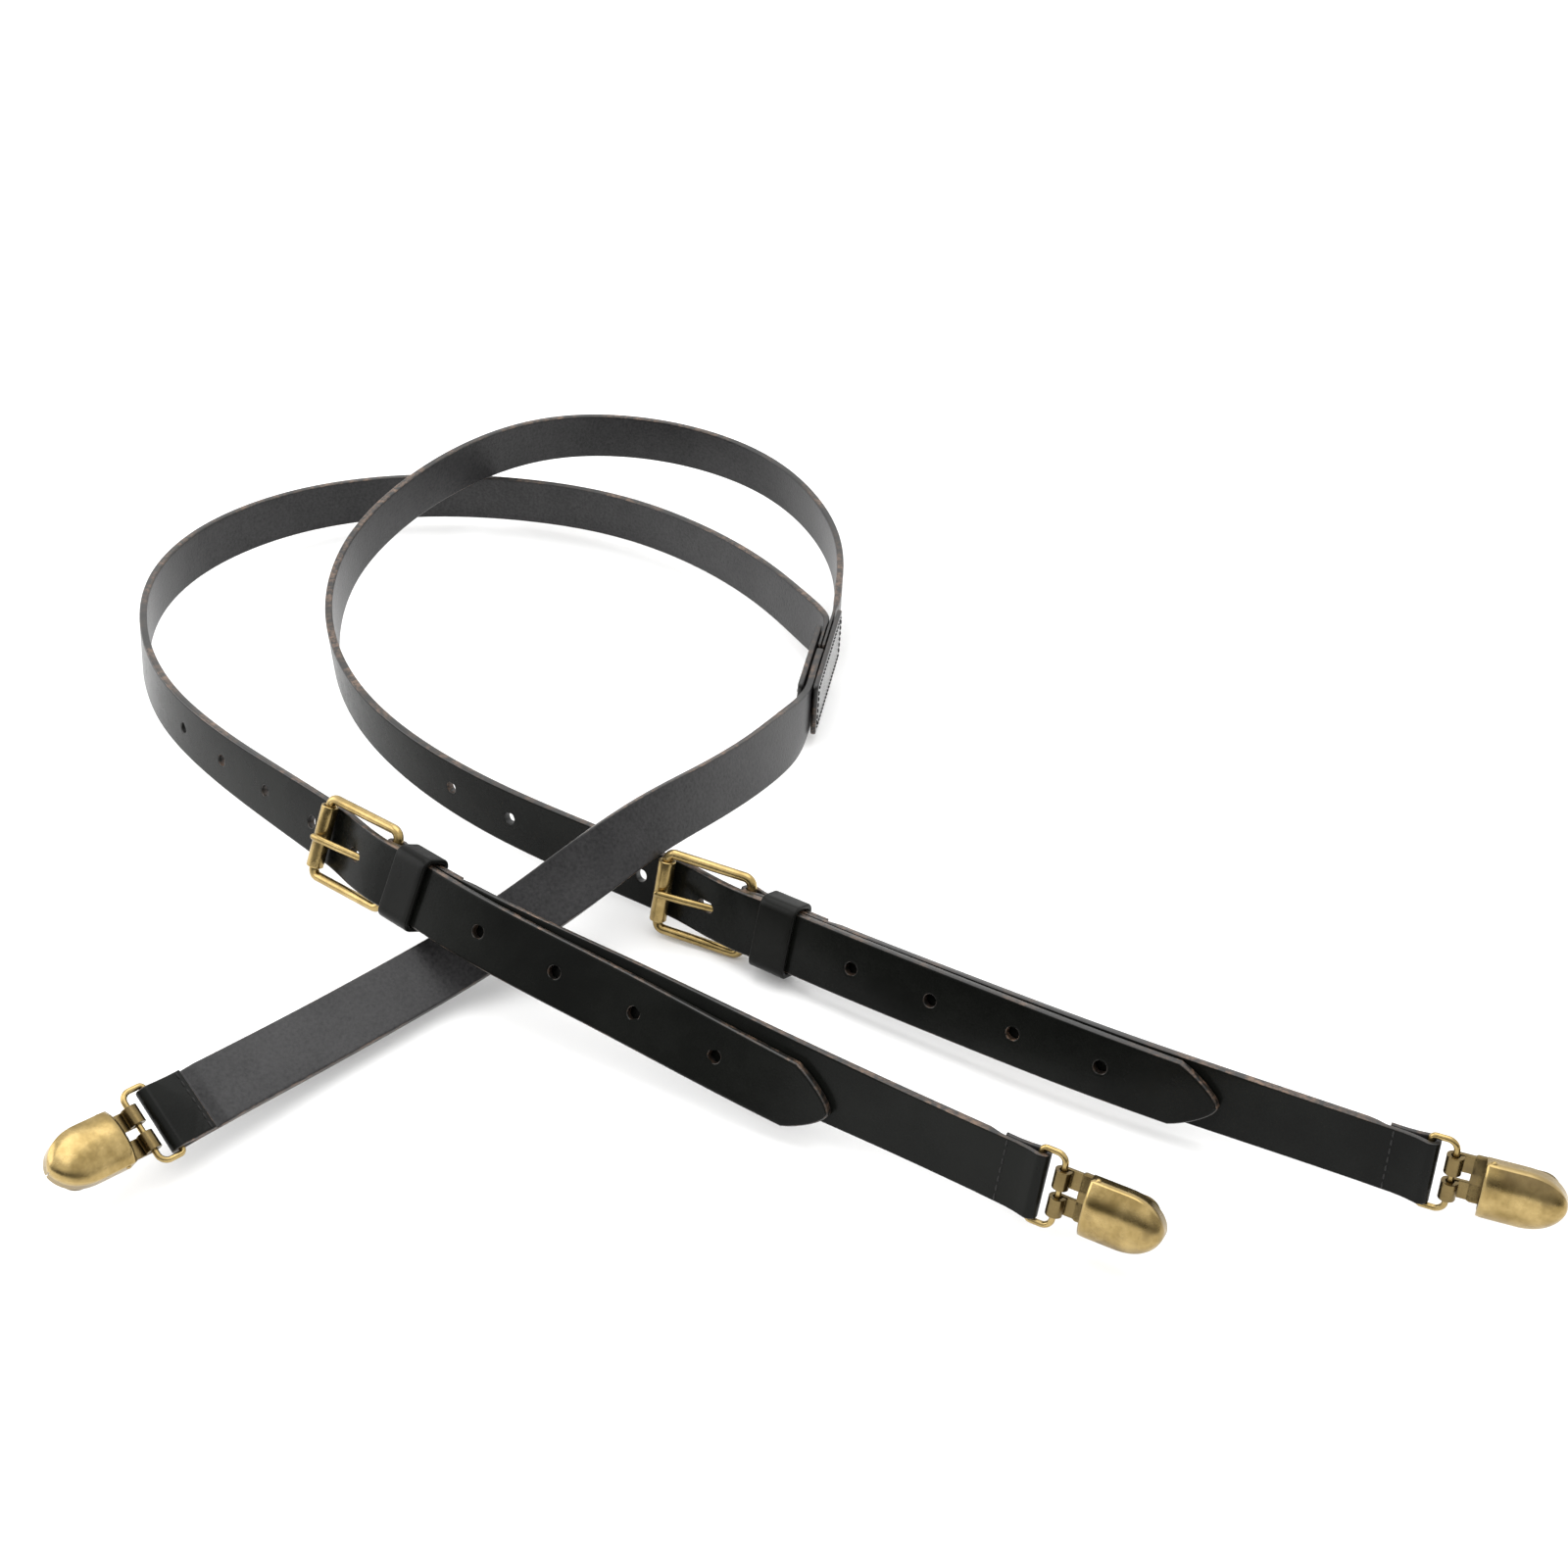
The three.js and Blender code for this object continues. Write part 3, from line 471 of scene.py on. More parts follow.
def round_hole(t, w, radius, count=28):
    turn = -2 * math.pi * np.arange(count) / count
    return np.stack([t + radius * np.cos(turn), w + radius * np.sin(turn)], -1)


def slot_hole(t0, t1, half, count=10):
    """A long hole with round ends, for a prong."""
    ends = []
    for centre, start in ((t0 + half, 270), (t1 - half, 90)):
        turn = np.radians(np.linspace(start, start - 180, count))
        ends.append(np.stack([centre + half * np.cos(turn), half * np.sin(turn)], -1))
    sides = np.linspace(t0 + half, t1 - half, max(3, int((t1 - t0) / 0.6)))[1:-1]
    up = np.stack([sides, np.full_like(sides, half)], -1)
    return np.concatenate([ends[0], up, ends[1], up[::-1] * [1, -1]])


def strip_outline(stops, half, pointed=None):
    """Counter-clockwise outline of a strap from its t stops; the far end may be pointed."""
    wide = np.full(len(stops), half) if pointed is None else pointed(stops)
    low = np.stack([stops, -wide], -1)
    high = np.stack([stops, wide], -1)[::-1]
    far = [(stops[-1], w) for w in np.linspace(-wide[-1], wide[-1], 9)[1:-1]] if wide[-1] > 2 else []
    near = [(stops[0], w) for w in np.linspace(wide[0], -wide[0], 9)[1:-1]]
    return np.concatenate([low, np.reshape(far, (-1, 2)), high, near])


def stops_of(sheet, coarse=2.4, fine=0.22):
    """Places along the leather: close together in its folds, wider apart on its runs."""
    t, places = 0.0, [0.0]
    while t < sheet.length - 1e-6:
        here = sheet.side(np.array([t - 0.3, t, t + 0.6, t + 1.2]))
        way = np.diff(here[:, :2], axis=0)
        way /= np.linalg.norm(way, axis=1, keepdims=True) + 1e-9
        bend = max(np.linalg.norm(way[1] - way[0]), np.linalg.norm(way[2] - way[1]))
        t = min(sheet.length, t + (fine if bend > 0.12 else 0.8 if bend > 0.004 else coarse))
        places.append(t)
    return np.array(places)


def run(start, stop, out, thick=STRAP, step=9):
    """A straight length of a side view."""
    count = max(1, math.ceil(abs(stop - start) / step))
    return [(start + (stop - start) * i / count, out, thick) for i in range(count + 1)]


THINNED = (STRAP - FOLD) / 2
FLAP_OUT = THINNED - FOLD - GAP
FOLD_CENTRE = (THINNED + FLAP_OUT) / 2
CLOSING, SETTLE = 3.2, 7  # from the bar to where the flap nears the strap, and meets it


def fold_radius(bar):
    return bar + 1.4 * GAP + FOLD / 2


def fold(bar_at, bar, flap, way):
    """The side view of a fold round a bar, from the main layer to the end of the flap."""
    radius = fold_radius(bar)
    turn = np.radians(np.linspace(90, -90 if way < 0 else 270, 25))
    bend = [(bar_at + radius * math.cos(a), FOLD_CENTRE + radius * math.sin(a), FOLD) for a in turn]
    return [
        (bar_at + way * (flap + 5), 0, STRAP), (bar_at + way * (flap + 1), THINNED, FOLD),
        (bar_at + way * SETTLE, THINNED, FOLD),
        (bar_at + way * CLOSING, bend[0][1] * 0.35 + THINNED * 0.65, FOLD),
        *bend,
        (bar_at + way * CLOSING, bend[-1][1] * 0.35 + FLAP_OUT * 0.65, FOLD),
        (bar_at + way * SETTLE, FLAP_OUT, FOLD), (bar_at + way * flap, FLAP_OUT, FOLD),
    ]


def softened(view, rounds=3):
    """Cuts the corners of a side view, so that the leather bends and never kinks."""
    view = np.array(view, float)
    for _ in range(rounds):
        a, b = view[:-1], view[1:]
        near, far = a * 0.75 + b * 0.25, a * 0.25 + b * 0.75
        view = np.concatenate([[view[0]], np.stack([near, far], 1).reshape(-1, 3), [view[-1]]])
    return view


FRAME_WIRE, FRAME_LENGTH, ROLLER_WALL = 1.6, 30.0, 0.9
ROLLER_RADIUS = FRAME_WIRE + GAP + ROLLER_WALL
ROLLER_OUT = STRAP / 2 + 2.7 * GAP + ROLLER_RADIUS
PRONG_RING = FRAME_WIRE + 0.75
STRAP_OVER_HEEL = FOLD_CENTRE + FRAME_WIRE + 1.2 + STRAP / 2
LAYER = STRAP + 1.5 * GAP
HOLE_TO_HEEL, HEEL_FLAP, LOOP_WIRE, LOOP_FLAP = 13.2, 28, 0.9, 11
TIP, HOLE, HEEL_SLOT = 13.0, 2.05, 9.5
HOLES_BEFORE, HOLES_AFTER = 4, 5
INNER_SHORT = 13
LOWER = {
    "left": dict(heel_to_end=230, keeper=6.4, pitch=28.2, hole_to_tip=38, drop=5.4, in_patch=-1),
    "right": dict(heel_to_end=219.3, keeper=7.4, pitch=27.6, hole_to_tip=35, drop=0.6, in_patch=1),
}
routes = {name: Route(knots) for name, knots in ROUTES.items()}
places = {}
for side, lay in LOWER.items():
    route = routes[side]
    clip_at = route.length - fold_radius(LOOP_WIRE) - FOLD / 2
    heel_at = route.length - lay["heel_to_end"]
    hole_at = heel_at - HOLE_TO_HEEL
    tip_at = hole_at + HOLES_AFTER * lay["pitch"] + lay["hole_to_tip"]
    places[side] = dict(clip=clip_at, heel=heel_at, tip=tip_at)

    thin = (STRAP - GAP) / 2
    thin_out = lay["in_patch"] * (thin + GAP) / 2
    lap = np.linalg.norm(LAP_END - route.curve(0)[0, :3])
    leaves = lap + 1 - (0 if lay["in_patch"] > 0 else INNER_SHORT)
    over_buckle = ((1, 0), (0.8, 0.5), (0.6, 1.5), (0.4, 2.7), (0.2, 3.5))
    view = [
        *run(0, leaves, thin_out, thin, 7), (leaves + 6, thin_out * 1.1, STRAP),
        *run(leaves + 22, heel_at - FRAME_LENGTH - 4, 0),
        *[(heel_at - FRAME_LENGTH * share, out, STRAP) for share, out in over_buckle],
        (heel_at, STRAP_OVER_HEEL, STRAP), *run(heel_at + SETTLE + 1, tip_at, LAYER),
    ]
    drop_from = heel_at + 16

    def tail_drop(s, lay=lay, start=drop_from, stop=tip_at):
        return -lay["drop"] * np.maximum(0, (s - start) / (stop - start)) ** 0.9

    strap = Sheet(route, softened(view), tail_drop)

    def pointed(t, strap=strap):
        into = np.clip((t - (strap.length - TIP)) / TIP, 0, 1)
        return STRAP_WIDTH / 2 * np.maximum(1 - into ** 1.12, 0.0004) ** 0.66

    stops = stops_of(strap)
    tip_stops = strap.length - TIP * (1 - np.linspace(0, 1, 22) ** 0.6)
    stops = np.concatenate([stops[stops < strap.length - TIP - 0.5], tip_stops])
    holes = []
    for i in range(-HOLES_BEFORE, HOLES_AFTER + 1):
        hole_t = strap.t_of(hole_at + i * lay["pitch"])
        pulled = slot_hole(hole_t - 3.4, hole_t + 3.2, 1.6)  # the hole that the prong is in
        holes.append(pulled if i == 0 else round_hole(hole_t, 0, HOLE))
    outline = strip_outline(stops, STRAP_WIDTH / 2, pointed)
    mesh = leather_mesh("front_strap_" + side, outline, holes, strap.place, STRAP, [grain, flesh, edge])
    piece = finished("front_strap_" + side, mesh, "straps", ["front_strap_" + side])
    places[side]["strap"] = strap

    view = [
        *fold(heel_at, FRAME_WIRE, HEEL_FLAP, 1)[::-1],
        *run(heel_at + HEEL_FLAP + 12, clip_at - LOOP_FLAP - 12, 0),
        *fold(clip_at, LOOP_WIRE, LOOP_FLAP, -1),
    ]
    lower = Sheet(route, view)
    stops = stops_of(lower)
    bend_t = float(lower.places[np.argmin(lower.view[:, 0])])
    holes = [slot_hole(bend_t - HEEL_SLOT, bend_t + HEEL_SLOT, 1.7)]
    mesh = leather_mesh(
        "clip_strap_" + side, strip_outline(stops, STRAP_WIDTH / 2), holes, lower.place, FOLD + 0.6,
        [grain, flesh, edge], soft=0.45)
    piece = finished("clip_strap_" + side, mesh, "straps", ["clip_strap_" + side])
    places[side]["lower"] = lower

back_route = routes["back"]
back_clip = back_route.length - fold_radius(LOOP_WIRE) - FOLD / 2
back_view = [*run(0, back_clip - LOOP_FLAP - 12, 0), *fold(back_clip, LOOP_WIRE, LOOP_FLAP, -1)]
back_sheet = Sheet(back_route, back_view)
mesh = leather_mesh(
    "back_strap", strip_outline(stops_of(back_sheet), STRAP_WIDTH / 2), [], back_sheet.place, FOLD + 0.6,
    [grain, flesh, edge], soft=0.45)
piece = finished("back_strap", mesh, "straps", ["back_strap"])

# ---- Back patch ----
# Two leather plates sewn through all three straps, one on each side, with their corners rounded
# and their edges inked. Waxed thread runs round them near the edge.
PATCH_FROM = np.array([8.2, 31, 11.3])
PATCH_WIDTH, PATCH, PATCH_GAP, PATCH_LEAN = 22.0, 2.0, 0.5, 3
patch_along = unit(LAP_END - PATCH_FROM)
patch_length = float(np.linalg.norm(LAP_END - PATCH_FROM))
patch_side = np.cross(patch_along, [0, 0, 1])
patch_lean = math.radians(PATCH_LEAN)
patch_across = np.array([0, 0, math.cos(patch_lean)]) + patch_side * math.sin(patch_lean)
patch_out = np.cross(patch_along, patch_across)


def rounded(left, right, low, high, corner, steps=8, left_corner=None, gap=None):
    """A rectangle with round corners, counter-clockwise, its points no further apart than gap."""
    near = corner if left_corner is None else left_corner
    centres = (
        (right - corner, low + corner, corner), (right - corner, high - corner, corner),
        (left + near, high - near, near), (left + near, low + near, near),
    )
    points = []
    for quarter, (x, y, radius) in enumerate(centres):
        for i in range(steps + 1):
            turn = math.pi / 2 * (quarter - 1 + i / steps)
            points.append((x + radius * math.cos(turn), y + radius * math.sin(turn)))
    if gap is None:
        return np.array(points)
    filled = []
    for a, b in zip(points, points[1:] + points[:1]):
        count = max(1, math.ceil(math.dist(a, b) / gap))
        for i in range(count):
            filled.append((a[0] + (b[0] - a[0]) * i / count, a[1] + (b[1] - a[1]) * i / count))
    return np.array(filled)


for name, way, short in (("outer", 1, 0), ("inner", -1, INNER_SHORT)):
    middle = way * (STRAP / 2 + PATCH_GAP + PATCH / 2)

    def patch_place(x, y, depth, middle=middle, way=way):
        off = middle + depth * PATCH / 2 * way
        return PATCH_FROM + np.outer(x, patch_along) + np.outer(way * y, patch_across) + np.outer(off, patch_out)

    outline = rounded(0, patch_length - short, -PATCH_WIDTH / 2, PATCH_WIDTH / 2, 2, gap=1.5)
    mesh = leather_mesh("back_patch_" + name, outline, [], patch_place, PATCH, [patch_grain, flesh, edge])
    finished("back_patch_" + name, mesh, "straps", ["back_patch_" + name])

# ---- Stitching ----
# Waxed linen thread, nearly black, in short sunk stitches: round the patch, and across each strap
# just behind its fold at a clip, where it closes the flap.
thread_paint = Paint("waxed_thread", Specular_IOR_Level=0.25)
thread_twist = thread_paint.noise(thread_paint.place(), 1800, 2)
thread_paint.set(
    Base_Color=thread_paint.blend(thread_twist, (0.008, 0.008, 0.008), (0.030, 0.029, 0.028)),
    Roughness=0.5 + thread_twist * 0.2)
THREAD, STITCH_IN, PATCH_STITCH_IN = 0.32, 1.4, 2.4


def stitch_tree():
    """Lays stitches end to end along the edges that it is given."""
    tree = bpy.data.node_groups.new("running_stitch", "GeometryNodeTree")
    tree.interface.new_socket("Geometry", in_out="INPUT", socket_type="NodeSocketGeometry")
    tree.interface.new_socket("Spacing", in_out="INPUT", socket_type="NodeSocketFloat")
    tree.interface.new_socket("Thread Radius", in_out="INPUT", socket_type="NodeSocketFloat")
    tree.interface.new_socket("Material", in_out="INPUT", socket_type="NodeSocketMaterial")
    tree.interface.new_socket("Geometry", in_out="OUTPUT", socket_type="NodeSocketGeometry")
    node, link = tree.nodes.new, tree.links.new
    given, made = node("NodeGroupInput"), node("NodeGroupOutput")
    curve, points = node("GeometryNodeMeshToCurve"), node("GeometryNodeCurveToPoints")
    points.mode = "LENGTH"
    ball, shape = node("GeometryNodeMeshUVSphere"), node("ShaderNodeCombineXYZ")
    ball.inputs["Segments"].default_value, ball.inputs["Rings"].default_value = 8, 6
    ball.inputs["Radius"].default_value = 1
    half, placed = node("ShaderNodeMath"), node("GeometryNodeInstanceOnPoints")
    half.operation = "MULTIPLY"
    half.inputs[1].default_value = 0.40
    real, colour = node("GeometryNodeRealizeInstances"), node("GeometryNodeSetMaterial")
    link(given.outputs["Geometry"], curve.inputs["Mesh"])
    link(curve.outputs["Curve"], points.inputs["Curve"])
    link(given.outputs["Spacing"], points.inputs["Length"])
    link(given.outputs["Spacing"], half.inputs[0])
    link(given.outputs["Thread Radius"], shape.inputs["X"])
    link(given.outputs["Thread Radius"], shape.inputs["Y"])
    link(half.outputs[0], shape.inputs["Z"])
    link(points.outputs["Points"], placed.inputs["Points"])
    link(ball.outputs["Mesh"], placed.inputs["Instance"])
    link(points.outputs["Rotation"], placed.inputs["Rotation"])
    link(shape.outputs["Vector"], placed.inputs["Scale"])
    link(placed.outputs["Instances"], real.inputs["Geometry"])
    link(real.outputs["Geometry"], colour.inputs["Geometry"])
    link(given.outputs["Material"], colour.inputs["Material"])
    link(colour.outputs["Geometry"], made.inputs["Geometry"])
    return tree


running_stitch = stitch_tree()


def stitched(name, paths, body, spacing=2.6):
    """Sews along paths, each given with whether it is closed."""
    verts, edges = [], []
    for path, closed in paths:
        base, count = len(verts), len(path)
        verts += [tuple(p) for p in metres(path)]
        edges += [(base + i, base + (i + 1) % count) for i in range(count if closed else count - 1)]
    lines = bpy.data.meshes.new(name + "_lines")
    lines.from_pydata(verts, edges, [])
    holder = bpy.data.objects.new(name + "_work", lines)
    bpy.context.scene.collection.objects.link(holder)
    sewing = holder.modifiers.new("sewing", "NODES")
    sewing.node_group = running_stitch
    values = {"Spacing": spacing * MM, "Thread Radius": THREAD * MM, "Material": thread_paint.material}
    for item in running_stitch.interface.items_tree:
        if item.in_out == "INPUT" and item.name in values:
            sewing[item.identifier] = values[item.name]
    made = bpy.data.meshes.new_from_object(holder.evaluated_get(bpy.context.evaluated_depsgraph_get()))
    holder.modifiers.remove(sewing)
    bpy.data.objects.remove(holder)
    made.name = name
    return finished(name, made, body)


def across(sheet, s, depth, reach=8.4):
    """A line over the width of a strap."""
    wide = np.linspace(-reach, reach, 12)
    return sheet.place(np.full(12, sheet.t_of(s)), wide, np.full(12, depth)), False


sewn = [(side, places[side]["lower"], places[side]["clip"]) for side in LOWER]
for side, sheet, clip_at in (*sewn, ("back", back_sheet, back_clip)):
    at = clip_at - LOOP_FLAP + STITCH_IN
    lines = [across(sheet, at, 1.03), across(sheet, at, -3.5)]
    stitched("fold_stitches_" + side, lines, "straps")
for name, way, short in (("outer", 1, 0), ("inner", -1, INNER_SHORT)):
    far, half = patch_length - short - PATCH_STITCH_IN, PATCH_WIDTH / 2 - PATCH_STITCH_IN
    plan = rounded(PATCH_STITCH_IN, far, -half, half, 1, gap=2)
    off = way * (STRAP / 2 + PATCH_GAP + PATCH + 0.05)
    path = PATCH_FROM + np.outer(plan[:, 0], patch_along) + np.outer(plan[:, 1], patch_across) + off * patch_out
    stitched("patch_stitches_" + name, [(path, True)], "straps")

# ---- Keepers ----
# A band of thinner leather butted and sewn at the back, loose enough to slide over three layers.
KEEPER, KEEPER_WALL, PLAY = 13.0, 1.7, 0.55


def swept(rings, closed=True, caps=False):
    """Vertices and faces through rings of points."""
    rings = np.array(rings, float)
    count, size = rings.shape[:2]
    faces = []
    for i in range(count if closed else count - 1):
        k = (i + 1) % count
        for j in range(size):
            m = (j + 1) % size
            faces.append((i * size + j, i * size + m, k * size + m, k * size + j))
    if caps:
        faces.append(tuple(range(size))[::-1])
        faces.append(tuple((count - 1) * size + j for j in range(size)))
    return rings.reshape(-1, 3), faces


def solid_mesh(name, parts, basis, paint):
    """Parts in a piece's own directions, put in place as one mesh."""
    verts, faces = [], []
    origin, directions = basis
    for points, loops in parts:
        base = sum(len(v) for v in verts)
        verts.append(np.asarray(points, float) @ directions + origin)
        faces += [tuple(i + base for i in loop) for loop in loops]
    mesh = bpy.data.meshes.new(name)
    mesh.from_pydata(metres(np.concatenate(verts)), [], faces)
    mesh.materials.append(paint)
    work = bmesh.new()
    work.from_mesh(mesh)
    bmesh.ops.recalc_face_normals(work, faces=work.faces)
    work.to_mesh(mesh)
    work.free()
    return mesh


def basis_at(route, s, out):
    """An origin on a route, with the directions along, across and out of the strap there."""
    centre, along, across, outward = (v[0] for v in route.frame(s))
    return centre + outward * out, np.array([along, across, outward])


for side, lay in LOWER.items():
    half = STRAP_WIDTH / 2 + PLAY
    over, under = LAYER + STRAP / 2 + PLAY, FLAP_OUT - FOLD / 2 - PLAY
    loop = rounded(-half, half, under, over, 1.5, 8, gap=1.0)
    outward = ring_offsets(loop)
    section = rounded(0, KEEPER_WALL, -KEEPER / 2, KEEPER / 2, 0.55, 4, gap=2)
    rings = []
    for point, normal in zip(loop, outward):
        rings.append([(x, *(point + normal * wall)) for wall, x in section])
    basis = basis_at(routes[side], places[side]["heel"] + lay["keeper"] + KEEPER / 2, 0)
    mesh = solid_mesh("keeper_" + side, [swept(rings)], basis, keeper_grain)
    finished("keeper_" + side, mesh, "keeper_" + side, ["keeper_" + side])

# ---- Brass ----
# Cast and stamped brass with an antique finish: dark olive in the hollows, rubbed to a pale gold
# on the crowns, with faint brown clouds and fine brushing. The clip's base and jaw, under the
# cover, take a darker copy of it, which is painted shade.


def brass_paint(name, dark, middle, light):
    paint = Paint(name, Specular_IOR_Level=0.5, Coat_Roughness=0.2)
    where = paint.place()
    clouds = paint.noise(where, 130, 4, 0.62)
    stains = paint.noise(where, 55, 3, 0.6).smooth(0.52, 0.72)
    brushed = paint.noise(paint.stretch(where, (1, 1, 6)), 900, 3, 0.6)
    worn = paint.add("ShaderNodeNewGeometry")["Pointiness"].smooth(0.49, 0.56)
    base = paint.blend(clouds.smooth(0.3, 0.72), middle, light)
    base = paint.blend(stains * 0.65, base, dark)
    paint.set(
        Base_Color=paint.blend(worn * 0.45, base, light),
        Metallic=0.96 - stains * 0.22,
        Roughness=0.25 + (clouds - 0.5) * 0.16 + stains * 0.14 + (brushed - 0.5) * 0.1,
        Coat_Weight=0.05 + clouds * 0.05)
    paint.bump(brushed * 0.5 + clouds, 0.22, 0.0001)
    return paint.material


brass = brass_paint(
    "antique_brass", (0.055, 0.034, 0.012), (0.235, 0.162, 0.055), (0.47, 0.345, 0.145))
# A darker copy of the same brass: painted shade for the clip's base and jaw under the cover.
brass_painted_shade = brass_paint(
    "antique_brass_painted_shade", (0.030, 0.021, 0.009), (0.105, 0.072, 0.028), (0.20, 0.145, 0.06))

# ---- Buckles ----
# A bent brass frame of round wire, a thin rolled tube that turns on its front bar, and a prong
# whose eye is curled round the heel bar, where the lower strap holds it in a slot.


def tube(path, radii, sides=20, closed=False, wide=None):
    """A round or flattened bar along points in the XZ or XY plane."""
    path = np.array(path, float)
    if closed:
        way = unit(np.roll(path, -1, 0) - np.roll(path, 1, 0))
    else:
        way = unit(np.gradient(path, axis=0))
    normal = np.array([0, 1, 0]) if np.ptp(path[:, 1]) < 1e-9 else np.array([0, 0, 1])
    side = unit(np.cross(normal, way))
    radii = np.broadcast_to(radii, (len(path),))
    wide = radii if wide is None else wide
    turn = 2 * math.pi * np.arange(sides) / sides
    rings = [p + r * np.outer(np.cos(turn), s) + w * np.outer(np.sin(turn), normal)
             for p, s, r, w in zip(path, side, radii, wide)]
    return swept(rings, closed, caps=not closed)


def turned(profile, sides=48):
    """A shape turned about the Y axis from (radius, y) points, closed on itself."""
    turn = 2 * math.pi * np.arange(sides) / sides
    return swept([[(r * math.cos(a), y, r * math.sin(a)) for r, y in profile] for a in turn])


FRAME_HALF, ROLLER, HEEL_CORNER, ROLLER_CORNER = 13.2, 21.0, 3, 2.4
eye = np.radians(np.arange(-160, 121, 40))
prong_knots = [(PRONG_RING * math.cos(a), PRONG_RING * math.sin(a)) for a in eye]
prong_knots += [(-3.4, 1.25), (-7, 1.1), (-13, 1.9), (-20, 2.95), (-26, 3.75), (-29.4, 4.05)]
prong_knots += [(-FRAME_LENGTH - 1.2, 3.95)]
prong_path = Curve(np.arange(len(prong_knots)), prong_knots)
for side in LOWER:
    route, heel_at = routes[side], places[side]["heel"]
    heel_point = route.at(heel_at, 0, FOLD_CENTRE)[0]
    roller_point = route.at(heel_at - FRAME_LENGTH, 0, ROLLER_OUT)[0]
    along = unit(heel_point - roller_point)
    wide = route.frame(heel_at)[2][0] + route.frame(heel_at - FRAME_LENGTH)[2][0]
    outward = unit(np.cross(along, wide))
    basis = heel_point, np.array([along, np.cross(outward, along), outward])
    outline = rounded(
        -FRAME_LENGTH, 0, -FRAME_HALF, FRAME_HALF, HEEL_CORNER, 10, left_corner=ROLLER_CORNER, gap=1.5)
    wire = tube(np.column_stack([outline, np.zeros(len(outline))]), FRAME_WIRE, 24, True)
    mesh = solid_mesh("buckle_frame_" + side, [wire], basis, brass)
    finished("buckle_frame_" + side, mesh, "buckle_" + side, ["buckle_frame_" + side])
    bore = ROLLER_RADIUS - ROLLER_WALL
    section = rounded(bore, ROLLER_RADIUS, -ROLLER / 2, ROLLER / 2, 0.35, 4, gap=3)
    points, loops = turned(section)
    mesh = solid_mesh("buckle_roller_" + side, [(points - [FRAME_LENGTH, 0, 0], loops)], basis, brass)
    finished("buckle_roller_" + side, mesh, "roller_" + side, ["buckle_roller_" + side])
    u = np.linspace(0, len(prong_knots) - 1, 90)
    xz = prong_path(u)
    stations = [0, 7, 9, 12.6, 13.6, 14]  # the eye is flat, the prong nearly round, the point fine
    radii = np.interp(u, stations, [0.5, 0.5, 1.0, 1.05, 0.85, 0.4])
    wide = np.interp(u, stations, [1.25, 1.25, 1.2, 1.2, 1.0, 0.45])
    bar = tube(np.column_stack([xz[:, 0], np.zeros(len(u)), xz[:, 1]]), radii, 20, False, wide)
    mesh = solid_mesh("buckle_prong_" + side, [bar], basis, brass)
    finished("buckle_prong_" + side, mesh, "prong_" + side, ["buckle_prong_" + side])

# ---- Clips ----
# A wire loop in the strap's fold, a stamped base whose two lugs curl round it, a domed lever
# cover on a cross pin, and under it a jaw with a grip pad that closes on the base's teeth.
LOOP_DEPTH, LOOP_HALF, LOOP_CORNER, LOOP_STRAP_CORNER = 7.0, 11.3, 2.8, 1.2
SHEET, NECK, BASE_WIDTH, BASE_LENGTH, NOTCH = 1.2, 14.0, 15.0, 27.4, 2.8
COVER_REAR, COVER_LENGTH, COVER_WIDTH = 8.0, 22.0, 16.6
COVER_HEIGHT, SHOULDER, COVER_WALL, RIM_DROP = 6.0, 3.2, 0.9, 1.3
PIN, PIN_ALONG, PIN_UP, EAR = 0.8, 9.8, 1.2, 1.5
JAW_LENGTH, JAW, JAW_UP, PAD = 13.0, 0.9, 2.5, 10.0
TOOTH_COUNT, TOOTH_PITCH, TOOTH_HEIGHT = 5, 2, 1.4
RIB_COUNT, RIB_PITCH = 6, 1.5
CURL = LOOP_WIRE + GAP
PLATE_TOP, PLATE_BOTTOM = -CURL, -CURL - SHEET
HANG = {"left": (5, 1), "right": (4, 4), "back": (-4, -6)}  # degrees: the loop, then the clip


def prism(outline, low, high, axis):
    """A flat outline given depth along Y or Z."""
    outline = np.array(outline, float)
    size = len(outline)
    if axis == "Z":
        rings = [np.column_stack([outline, np.full(size, z)]) for z in (low, high)]
    else:
        rings = [np.column_stack([outline[:, 0], np.full(size, y), outline[:, 1]]) for y in (low, high)]
    return swept(rings, closed=False, caps=True)


def softened_mesh(name, parts, basis, paint, width=0.22, segments=2):
    """Joins the parts, breaks their sharp edges and returns the finished mesh."""
    mesh = solid_mesh(name, parts, basis, paint)
    holder = bpy.data.objects.new(name + "_work", mesh)
    bpy.context.scene.collection.objects.link(holder)
    bevel = holder.modifiers.new("edges", "BEVEL")
    bevel.width, bevel.segments, bevel.limit_method = width * MM, segments, "ANGLE"
    bevel.angle_limit = math.radians(35)
    made = bpy.data.meshes.new_from_object(holder.evaluated_get(bpy.context.evaluated_depsgraph_get()))
    bpy.data.objects.remove(holder)
    made.name = name
    return made


